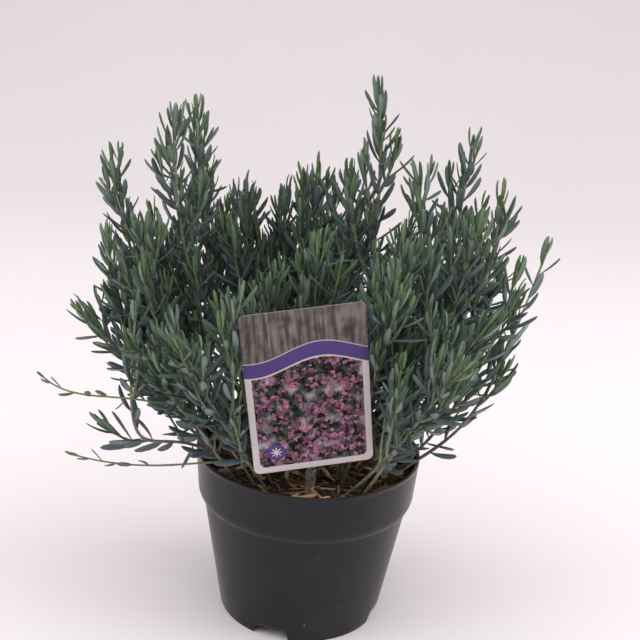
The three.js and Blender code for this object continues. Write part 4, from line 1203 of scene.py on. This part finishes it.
def make_pot(pot):
    """The pot: its section carried around the axis, with the foot lifted in the notches and holes cut
    through the base plate."""
    profile = pot_profile(pot)
    angles = pot_angles(pot.foot_radius)
    points = lathe(profile, angles)
    lift = notch_heights(angles, pot.foot_radius)
    low = points[..., 2] < BASE_PLATE_Z - 0.5 * MM
    points[..., 2] = np.where(low, np.maximum(points[..., 2], lift + 0.02 * points[..., 2]), points[..., 2])
    shell = Shell()
    rows, columns = points.shape[:2]
    shell.add(points, tube_faces(rows, columns))
    made = shell.piece("nursery_pot", [pot_plastic(pot.colour)], "pot", "pot")
    cut_drains(made)
    return made


def cut_drains(pot):
    """Cuts the round drain holes through the base plate."""
    shell = Shell()
    angles = np.arange(DRAIN_SIDES) * 2 * np.pi / DRAIN_SIDES
    ring = DRAIN_RADIUS * np.stack([np.cos(angles), np.sin(angles)], -1)
    for step in range(DRAIN_COUNT):
        turn = step * 2 * math.pi / DRAIN_COUNT
        middle = DRAIN_RING_RADIUS * np.array([math.cos(turn), math.sin(turn)])
        ends = [
            np.column_stack([ring + middle, np.full(DRAIN_SIDES, z)])
            for z in (BASE_PLATE_Z - 3 * MM, BASE_PLATE_Z + POT_WALL + 3 * MM)
        ]
        shell.add(np.array(ends), tube_faces(2, DRAIN_SIDES))
    cutter = shell.piece("drain_cutter", [], "pot")
    cut = pot.modifiers.new("Drains", "BOOLEAN")
    cut.operation = "DIFFERENCE"
    cut.solver = "EXACT"
    cut.object = cutter
    apply_modifiers(pot)
    bpy.data.objects.remove(cutter)


def apply_modifiers(piece):
    """Puts the result of a piece's modifiers into its mesh."""
    depsgraph = bpy.context.evaluated_depsgraph_get()
    finished = bpy.data.meshes.new_from_object(piece.evaluated_get(depsgraph))
    piece.modifiers.clear()
    piece.data = finished


def soil_height(x, y):
    """The soil's top: two long waves across each other and a shorter slanting one."""
    across = np.sin(x * LONG_WAVE + 1.3) * np.cos(y * LONG_WAVE + 0.4)
    return SOIL_TOP + SOIL_RELIEF * (across + 0.6 * np.sin((x - y) * SHORT_WAVE))


def make_soil(mulch):
    """The peat: a closed block that fills the pot. The crumbs on its top are one bent sine times another,
    plus a random part for each point."""
    rings, around = SOIL_GRID
    edge = BODY_TOP_RADIUS + COLLAR_STEP - POT_WALL
    angles = np.arange(around) * 2 * np.pi / around
    radius = np.linspace(edge + 1.1 * MM, 0.5 * MM, rings)[:, None]
    x = radius * np.cos(angles)
    y = radius * np.sin(angles)
    seeds = np.arange(rings * around).reshape(rings, around)
    crumbs = 0.5 * np.sin(x * 900 + 3 * np.sin(y * 400)) * np.sin(y * 820 + 2 * np.sin(x * 350))
    height = soil_height(x, y) + MM * (crumbs + 0.9 * (noise(seeds) - 0.5))
    top = np.stack([x, y, height], -1)
    floor_z = BASE_PLATE_Z + POT_WALL + GAP
    wall = [
        (0.5 * MM, floor_z), (FOOT_RADIUS - POT_WALL + 0.5 * MM, floor_z),
        (BODY_TOP_RADIUS - POT_WALL - 0.8 * MM, COLLAR_FOOT_Z),
    ]
    shell = Shell()
    points = np.concatenate([lathe(wall, angles), top])
    shell.add(points, tube_faces(len(points), around))
    return shell.piece("peat", [peat(mulch.peat)], "mulch", "soil")


def chip_sizes(mulch, seed):
    """Length, width and thickness of a chip. A few are large, most of them small."""
    large = noise(seed + 2) ** 1.8
    length = mulch.chip_length * (0.4 + 1.0 * large + 0.5 * noise(seed + 13))
    width = MM * (1.2 + 5.0 * large * (0.3 + noise(seed + 3)))
    return length, width, MM * (0.7 + 1.6 * noise(seed + 4) * (0.4 + large))


def fibre_sizes(mulch, seed):
    """Length, width and thickness of a fibre."""
    width = MM * (0.3 + 0.35 * noise(seed + 3))
    return mulch.chip_length * (0.9 + 1.5 * noise(seed + 2)), width, width


def make_mulch(mulch):
    """Bark chips and fibres on the peat. A chip is a tapered bar, split a little at its ends, whose
    section is a flattened ring of six points pushed in and out at random."""
    shell = Shell()
    stations = np.array([0.0, 0.12, 0.5, 0.88, 1.0])
    section = np.arange(6) * np.pi / 3 + 0.3
    across = np.tile(np.cos(section), 5)
    ends = np.sin(np.pi * (0.08 + 0.84 * stations)) ** 0.3
    for number in range(mulch.chips + mulch.fibres):
        seed = 5000 + number * 7.3
        fibre = number >= mulch.chips
        if fibre:
            radius = FIBRE_REACH * math.sqrt(noise(seed))
            angle = 2 * math.pi * noise(seed + 1)
            length, width, thick = fibre_sizes(mulch, seed)
        else:
            radius = MULCH_REACH * math.sqrt((number + 0.5) / mulch.chips)
            angle = number * GOLDEN_ANGLE
            length, width, thick = chip_sizes(mulch, seed)
        place = np.array([radius * math.cos(angle), radius * math.sin(angle)])
        heading = 2 * math.pi * noise(seed + 5)
        pitch = (noise(seed + 6) - 0.5) * (0.35 if fibre else 0.7)
        tilt = (noise(seed + 8) - 0.5) * 1.6
        if math.hypot(*place) + 0.5 * length > MULCH_EDGE:
            heading = math.atan2(place[1], place[0]) + math.pi / 2 + 0.5 * (noise(seed + 5) - 0.5)
            room = max((MULCH_EDGE + 0.4 * MM) ** 2 - (0.5 * length) ** 2, 0.0)
            place *= min(1.0, (math.sqrt(room) - 0.5 * width) / math.hypot(*place))
        uneven = 1 + 0.45 * (noise(seed + 11 + np.arange(30).reshape(5, 6)) - 0.5)
        bow = 0.12 * length * (noise(seed + 9) - 0.5) * (4 * stations * (1 - stations) - 0.5)
        middles = np.broadcast_to((stations * length - length / 2)[:, None], (5, 6))
        local = np.stack([
            middles + 0.25 * width * (uneven - 1),
            np.cos(section) * 0.5 * width * ends[:, None] * uneven + bow[:, None] * 0.6,
            np.sin(section) * 0.5 * thick * ends[:, None] * uneven + bow[:, None],
        ], -1)
        level = Matrix.Rotation(pitch, 3, "Y") @ Matrix.Rotation(tilt, 3, "X")
        rotation = np.array(Matrix.Rotation(heading, 3, "Z") @ level)
        lift = 0.25 * thick + MM * (1.6 * noise(seed + 10) ** 1.5)
        middle = np.array([*place, soil_height(*place) + lift])
        tone = 0.7 + 0.3 * noise(seed + 12) if fibre else noise(seed + 12) ** 1.1
        shell.add(
            local @ rotation.T + middle, tube_faces(5, 6), rounded=fibre,
            tint=tone, along=np.repeat(stations, 6), across=across,
        )
    return shell.piece("bark_mulch", [bark_chip(mulch.bark)], "mulch")


def make_stem(stem, shrub, materials):
    """One leafy stem: its wood, its side shoots and all their leaves, in one piece. A trailing stem is
    thin, green and bare, with a few short leaves near its tip."""
    shell = Shell()
    seed = stem.index * 1000.0
    sizes = (shrub.leaf_length, shrub.leaf_width)
    if stem.trailing:
        add_wood(shell, stem.path, 0.5 * STEM_BASE_RADIUS, 0.5 * MM, 8, seed, old=0.2)
        few = leaf_rule(
            stem.path, seed, bare=0.6, scale=0.45, sizes=sizes, spacing=6 * MM, broad=1.5, sparse=2.4
        )
        few["youth"] = mix(0.55, 1.0, few["tint"])
        add_leaves(shell, **few)
    else:
        add_wood(shell, stem.path, 0.7 * STEM_BASE_RADIUS, 1.05 * STEM_TIP_RADIUS, 8, seed)
        usual = dict(bare=0.26, scale=1.0, sizes=sizes, spacing=shrub.leaf_spacing, sparse=stem.sparse)
        add_leaves(shell, **leaf_rule(stem.path, seed, **usual))
    for path, order in stem.shoots:
        own = seed + (order + 1) * 60.0
        slim = 0.85 if order >= len(SHOOT_PLACES) else 1.0
        add_wood(shell, path, slim * SHOOT_BASE_RADIUS, slim * SHOOT_TIP_RADIUS, 7, own, old=0.55)
        closer = dict(bare=0.12, scale=0.96 * slim, sizes=sizes, spacing=0.86 * shrub.leaf_spacing)
        add_leaves(shell, **leaf_rule(path, own, **closer))
    return shell.piece(f"{stem.name}_foliage", materials, "foliage", f"stem_{stem.name}")


def make_litter(twigs, leaves, materials):
    """Dry twigs that stand and lie among the feet of the stems, a straw stem, and dead leaves on the bark.
    A twig is a bent path from its foot outwards, with a thinner one forking from it. The straw stem is
    the first path, and is fresher than the twigs."""
    shell = Shell()
    routes = [Path(*(MM * np.array(STRAW_STEM)))]
    for number in range(twigs):
        seed = 9000 + 11.3 * number
        turn = number * GOLDEN_ANGLE + 0.4
        out = np.array([math.cos(turn), math.sin(turn), 0])
        beside = np.array([-out[1], out[0], 0])
        foot = mix(34, 56, noise(seed)) * MM * out
        foot[2] = soil_height(foot[0], foot[1]) - 2 * MM
        size = mix(34, 72, noise(seed + 1)) * MM
        lie = mix(0.35, 1.0, noise(seed + 2))
        knee = foot + 0.5 * size * (0.25 * lie * out + np.array([0, 0, 1.25 - 0.5 * lie]))
        onwards = lie * out + (noise(seed + 3) - 0.5) * beside + np.array([0, 0, 0.7 - 0.5 * lie])
        route = Path(foot, knee, knee + 0.6 * size * onwards)
        fork = route.points(0.55)[0]
        aside = 0.6 * out + (1.6 * noise(seed + 4) - 0.8) * beside + np.array([0, 0, 0.5])
        tip = fork + 0.34 * size * aside
        side_route = Path(fork, 0.5 * (fork + tip) + 0.05 * size * beside, tip)
        tests = [route.points([0.5, 0.7, 0.85, 1.0]), side_route.points([0.5, 1.0])]
        if is_clear(np.concatenate(tests), MM).all():
            routes += [route, side_route]
    for number, route in enumerate(routes):
        thick = (0.8 if number % 2 else 0.45) * MM if number else 0.75 * MM
        add_wood(shell, route, thick, 0.5 * thick, 6, 700.0 + number, fresh=0.12 if number else 0.7)
    own = 40.0 + np.arange(leaves)
    turn = 2 * np.pi * noise(own)
    away = 66 * MM * np.sqrt(noise(own + 0.2))
    x = away * np.cos(turn)
    y = away * np.sin(turn)
    root = np.column_stack([x, y, soil_height(x, y) + mix(2.2, 4.4, noise(own + 0.3)) * MM])
    heading = 2 * np.pi * noise(own + 0.4)
    over_rim = np.cos(heading - turn) > 0.2
    heading = np.where(over_rim, heading + np.pi, heading)
    add_leaves(
        shell, root=root, tangent=np.stack([np.cos(heading), np.sin(heading), 0 * heading], -1),
        out=np.broadcast_to([0.0, 0.0, -1.0], (leaves, 3)), lean=np.radians(24 * (noise(own + 0.5) - 0.5)),
        curl=np.radians(70 * (noise(own + 0.6) - 0.5)), roll=np.radians(200 * (noise(own + 0.7) - 0.5)),
        length=mix(9, 17, noise(own + 0.8)) * MM, width=mix(1.6, 3.2, noise(own + 0.9)) * MM,
        youth=np.zeros(leaves), tint=0.35 + 0.6 * noise(own + 0.1),
    )
    return shell.piece("dry_twigs", materials, "mulch")


def rounded_outline(width, height, corner, steps=8):
    """A rectangle with round corners, from its lower right corner round, as points across and up."""
    quarter = np.linspace(0, np.pi / 2, steps)
    parts = []
    for turn, (x, z) in enumerate(((1, -1), (1, 1), (-1, 1), (-1, -1))):
        angle = quarter + (turn - 1) * np.pi / 2
        centre = np.array([x * (width / 2 - corner), z * (height / 2 - corner)])
        parts.append(centre + corner * np.stack([np.cos(angle), np.sin(angle)], -1))
    return np.concatenate(parts)


def make_card(label):
    """The card: rings of its outline from the middle of its front, round its edge and back to the middle
    of its back, bowed back by the square of the distance from its upright middle line."""
    half = label.thickness / 2
    edge = 0.25 * MM
    insets = (30 * MM, 15 * MM, 5 * MM, 1.2 * MM, edge)
    rings = [(inset, -half) for inset in insets]
    rings += [(edge * (1 - math.sin(a)), -(half - edge) - edge * math.cos(a)) for a in (0.6, 1.2)]
    rings += [(0.0, -(half - edge)), (0.0, half - edge)]
    rings += [(edge * (1 - math.cos(a)), half - edge + edge * math.sin(a)) for a in (0.5, 1.0)]
    rings += [(inset, half) for inset in reversed(insets)]
    points = []
    for inset, depth in rings:
        corner = max(CARD_CORNER - inset, 0.6 * MM)
        outline = rounded_outline(label.width - 2 * inset, label.height - 2 * inset, corner)
        points.append(np.column_stack([outline[:, 0], np.full(len(outline), depth), outline[:, 1]]))
    points = np.array(points)
    front = np.repeat(np.array([1.0 if depth < 0 else 0.0 for _, depth in rings]), points.shape[1])
    bow = 1.2 * MM * (points[..., 0] / (label.width / 2)) ** 2
    flat = points.reshape(-1, 3).copy()
    points[..., 1] += bow - 0.4 * MM
    shell = Shell()
    rows, columns = points.shape[:2]
    shell.add(points @ CARD_ROTATION.T + CARD_CENTRE, flipped(tube_faces(rows, columns)), along=front)
    colours = (label.card, label.panel, label.violet, label.blossom)
    made = shell.piece("plant_label", [label_print(*colours)], "label_card", "label_card")
    add_print_map(made, flat)
    return made


def flipped(faces):
    """The same faces seen from their other side."""
    return [corners[:, ::-1] for corners in faces]


def add_print_map(card, flat):
    """A UV map in centimetres from the middle of the card, so that the print keeps its scale."""
    layer = card.data.uv_layers.new(name="Print")
    corners = np.zeros(len(card.data.loops), np.int32)
    card.data.loops.foreach_get("vertex_index", corners)
    places = flat[corners][:, [0, 2]] / (10 * MM)
    layer.uv.foreach_set("vector", places.astype(np.float32).ravel())


def make_stake(label):
    """The stake: a T-shaped section carried up a strip, pointed at its foot and rounded at its top."""
    half = STAKE_WIDTH / 2
    heights = (
        STAKE_FOOT, STAKE_FOOT + 0.5 * STAKE_POINT, STAKE_FOOT + STAKE_POINT, -60 * MM,
        STAKE_TOP - 4 * MM, STAKE_TOP - 1.5 * MM, STAKE_TOP - 0.4 * MM, STAKE_TOP,
    )
    widths = np.array([0.15, 0.58, 1.0, 1.0, 1.0, 0.86, 0.66, 0.5]) * half
    ribs = np.array([0.1, 0.5, 1.0, 1.0, 0.9, 0.4, 0.15, 0.1]) * STAKE_RIB
    rib_half = 0.5 * MM
    front = CARD_THICKNESS / 2 + GAP + 0.8 * MM
    back = front + STAKE_THICKNESS
    sections = []
    for z, wide, rib in zip(heights, widths, ribs, strict=True):
        wide = max(wide, 1.2 * rib_half)
        outline = [
            (-wide, front), (wide, front), (wide, back), (rib_half, back), (rib_half, back + rib),
            (-rib_half, back + rib), (-rib_half, back), (-wide, back),
        ]
        sections.append([(STAKE_SIDE + x, y, z) for x, y in outline])
    points = np.array(sections)
    shell = Shell()
    shell.add(points @ STAKE_ROTATION.T + CARD_CENTRE, tube_faces(len(heights), 8), rounded=False)
    made = shell.piece("label_stake_clear", [clear_plastic(label.clear)], "clear_stake", "label_stake")
    edges = made.modifiers.new("Rounded Edges", "BEVEL")
    edges.width = 0.2 * MM
    edges.segments = 2
    edges.limit_method = "ANGLE"
    apply_modifiers(made)
    return made


CAMERA_PLACE = np.array([2.0, -647.2, 425.4]) * MM
CAMERA_PITCH = 0.3184
CAMERA_ROLL = 0.0675
CAMERA_LENS = 57.41
BACKDROP_BEND = 1.6
BACKDROP_FAR = 1.3
LIGHT_COLOUR = (1, 0.985, 0.98)
SKY_FRONT = 0.42


def add_area_light(name, place, target, size, power, colour):
    """A rectangular light that looks at a target."""
    light = bpy.data.lights.new(name, "AREA")
    light.shape = "RECTANGLE"
    light.size, light.size_y = size
    light.energy = power
    light.color = colour
    holder = bpy.data.objects.new(name, light)
    holder.location = place
    holder.rotation_euler = (Vector(target) - Vector(place)).to_track_quat("-Z", "Y").to_euler()
    bpy.context.scene.collection.objects.link(holder)


def make_backdrop(colour):
    """A floor that curves up into a wall behind the object: a line, a quarter circle and a line."""
    bend = BACKDROP_BEND
    far = BACKDROP_FAR
    quarter = np.linspace(0, np.pi / 2, 24)
    line = [(-3.0, 0.0), (far, 0.0)]
    line += [(far + bend * math.sin(a), bend * (1 - math.cos(a))) for a in quarter[1:]]
    line += [(far + bend, 4.0)]
    rows = np.array([[(x, y, z) for x in (-5.0, 5.0)] for y, z in line])
    mesh = bpy.data.meshes.new("backdrop")
    faces = grid_faces(len(line), 2, wraps=False)
    mesh.from_pydata(rows.reshape(-1, 3).tolist(), [], faces.tolist())
    mesh.polygons.foreach_set("use_smooth", np.ones(len(faces), bool))
    mesh.update()
    material, tree = new_material("Pale Paper")
    place = object_place(tree)
    soft = mottle(tree, place, 1.5, 0.3, 0.7)
    shade = blend_colours(tree, soft, paint(colour, 0.985), paint(colour))
    sockets = {"Base Color": shade, "Roughness": 0.85, "Specular IOR Level": 0.2}
    mesh.materials.append(finish_material(material, sockets))
    backdrop = bpy.data.objects.new("backdrop", mesh)
    bpy.context.scene.collection.objects.link(backdrop)


def make_camera():
    """The camera at the viewing angle of the picture: pitched down, and rolled about its own axis."""
    camera = bpy.data.cameras.new("Camera")
    camera.lens = CAMERA_LENS
    camera.sensor_width = 36
    camera.clip_start = 0.01
    holder = bpy.data.objects.new("Camera", camera)
    pitch = Matrix.Rotation(math.pi / 2 - CAMERA_PITCH, 4, "X")
    roll = Matrix.Rotation(CAMERA_ROLL, 4, "Z")
    holder.matrix_world = Matrix.Translation(CAMERA_PLACE) @ pitch @ roll
    bpy.context.scene.collection.objects.link(holder)
    bpy.context.scene.camera = holder


def make_stage(stage):
    """Backdrop, lights, sky and camera. The sky is dimmer in front of the object than behind it."""
    make_backdrop(stage.floor)
    middle = (0, 0, 0.18)
    add_area_light("Top", (0.0, -0.8, 2.4), (0, -0.5, 0), (4.2, 3.4), stage.top_light, LIGHT_COLOUR)
    add_area_light("Back", (0.0, 0.7, 2.3), (0.0, 2.4, 0.9), (3.4, 1.0), stage.back_light, LIGHT_COLOUR)
    add_area_light("Front", (0.2, -1.5, 1.7), middle, (2.2, 0.9), stage.front_light, LIGHT_COLOUR)
    add_area_light("Left", (-1.9, -0.5, 0.9), middle, (1.4, 1.6), stage.side_light, LIGHT_COLOUR)
    add_area_light("Right", (1.9, -0.2, 0.8), middle, (1.2, 1.4), 1.3 * stage.side_light, (1, 0.985, 0.985))
    world = bpy.data.worlds.new("Soft Sky")
    world.use_nodes = True
    tree = world.node_tree
    facing = parts_of(tree, sky_direction(tree))["Y"]
    sockets = {"Value": facing, "From Min": -0.9, "From Max": 0.3}
    sockets.update({"To Min": SKY_FRONT * stage.sky, "To Max": stage.sky})
    sky = new_node(tree, "ShaderNodeMapRange", sockets).outputs["Result"]
    background = tree.nodes["Background"]
    background.inputs["Color"].default_value = (1, 0.965, 0.98, 1)
    tree.links.new(sky, background.inputs["Strength"])
    bpy.context.scene.world = world
    bpy.context.scene.view_settings.view_transform = "Standard"
    make_camera()


class PieceOperator:
    """What all the operators share: Blender lists them in its report and can undo them."""

    bl_options = {"REGISTER", "UNDO"}


class ROSEMARY_OT_stage(PieceOperator, bpy.types.Operator):
    """Add the floor, the lights and the camera"""

    bl_idname = "rosemary.make_stage"
    bl_label = "Stage"

    def execute(self, context):
        make_stage(context.scene.rosemary_stage)
        return {"FINISHED"}


class ROSEMARY_OT_finishes(PieceOperator, bpy.types.Operator):
    """Make the shader groups that the finishes share"""

    bl_idname = "rosemary.make_finishes"
    bl_label = "Shared Finishes"

    def execute(self, context):
        make_mottle_group()
        make_grain_group()
        make_dust_group()
        return {"FINISHED"}


class ROSEMARY_OT_pot(PieceOperator, bpy.types.Operator):
    """Make the nursery pot"""

    bl_idname = "rosemary.make_pot"
    bl_label = "Nursery Pot"

    def execute(self, context):
        make_pot(context.scene.rosemary_pot)
        return {"FINISHED"}


class ROSEMARY_OT_soil(PieceOperator, bpy.types.Operator):
    """Make the peat that fills the pot"""

    bl_idname = "rosemary.make_soil"
    bl_label = "Peat"

    def execute(self, context):
        make_soil(context.scene.rosemary_mulch)
        return {"FINISHED"}


class ROSEMARY_OT_mulch(PieceOperator, bpy.types.Operator):
    """Scatter the bark chips and fibres"""

    bl_idname = "rosemary.make_mulch"
    bl_label = "Bark Mulch"

    def execute(self, context):
        make_mulch(context.scene.rosemary_mulch)
        return {"FINISHED"}


class ROSEMARY_OT_shrub(PieceOperator, bpy.types.Operator):
    """Grow all the leafy stems"""

    bl_idname = "rosemary.make_shrub"
    bl_label = "Leafy Stems"

    def execute(self, context):
        shrub = context.scene.rosemary_shrub
        leaf = leaf_skin(shrub.old_leaf, shrub.waxy_leaf, shrub.young_leaf, shrub.underside)
        bark = stem_bark(shrub.green_stem, shrub.tan_stem, shrub.old_stem_and_shade)
        for stem in grow_wood():
            make_stem(stem, shrub, [leaf, bark])
        return {"FINISHED"}


class ROSEMARY_OT_litter(PieceOperator, bpy.types.Operator):
    """Scatter the dry twigs and dead leaves, in the finishes of the chips and the stems"""

    bl_idname = "rosemary.make_litter"
    bl_label = "Dry Twigs"

    def execute(self, context):
        mulch = context.scene.rosemary_mulch
        materials = [bpy.data.materials["Bark Chips"], bpy.data.materials["Stem Bark"]]
        make_litter(mulch.twigs, mulch.dead_leaves, materials)
        return {"FINISHED"}


class ROSEMARY_OT_label(PieceOperator, bpy.types.Operator):
    """Make the plant label and its stake"""

    bl_idname = "rosemary.make_label"
    bl_label = "Plant Label"

    def execute(self, context):
        label = context.scene.rosemary_label
        make_card(label)
        make_stake(label)
        return {"FINISHED"}


OPERATORS = (
    ROSEMARY_OT_stage, ROSEMARY_OT_finishes, ROSEMARY_OT_pot, ROSEMARY_OT_soil, ROSEMARY_OT_mulch,
    ROSEMARY_OT_shrub, ROSEMARY_OT_litter, ROSEMARY_OT_label,
)


class ROSEMARY_PT_panel(bpy.types.Panel):
    """Lists the pieces and their settings"""

    bl_label = "Bog Rosemary"
    bl_idname = "ROSEMARY_PT_panel"
    bl_space_type = "VIEW_3D"
    bl_region_type = "UI"
    bl_category = "Bog Rosemary"

    def draw(self, context):
        for operator in OPERATORS:
            self.layout.operator(operator.bl_idname)
        for name, settings in SETTINGS.items():
            box = self.layout.box()
            box.label(text=settings.__doc__)
            for key in settings.__annotations__:
                box.prop(getattr(context.scene, name), key)


SETTINGS = {
    "rosemary_pot": PotSettings,
    "rosemary_mulch": MulchSettings,
    "rosemary_shrub": ShrubSettings,
    "rosemary_label": LabelSettings,
    "rosemary_stage": StageSettings,
}
CLASSES = (*SETTINGS.values(), *OPERATORS, ROSEMARY_PT_panel)


def register():
    for kind in CLASSES:
        bpy.utils.register_class(kind)
    for name, settings in SETTINGS.items():
        setattr(bpy.types.Scene, name, bpy.props.PointerProperty(type=settings))


def unregister():
    for name in SETTINGS:
        delattr(bpy.types.Scene, name)
    for kind in reversed(CLASSES):
        bpy.utils.unregister_class(kind)


def main():
    """Registers the add-on and makes every piece."""
    register()
    bpy.ops.rosemary.make_finishes()
    bpy.ops.rosemary.make_stage()
    bpy.ops.rosemary.make_pot()
    bpy.ops.rosemary.make_soil()
    bpy.ops.rosemary.make_mulch()
    bpy.ops.rosemary.make_shrub()
    bpy.ops.rosemary.make_litter()
    bpy.ops.rosemary.make_label()


if __name__ == "__main__":
    main()
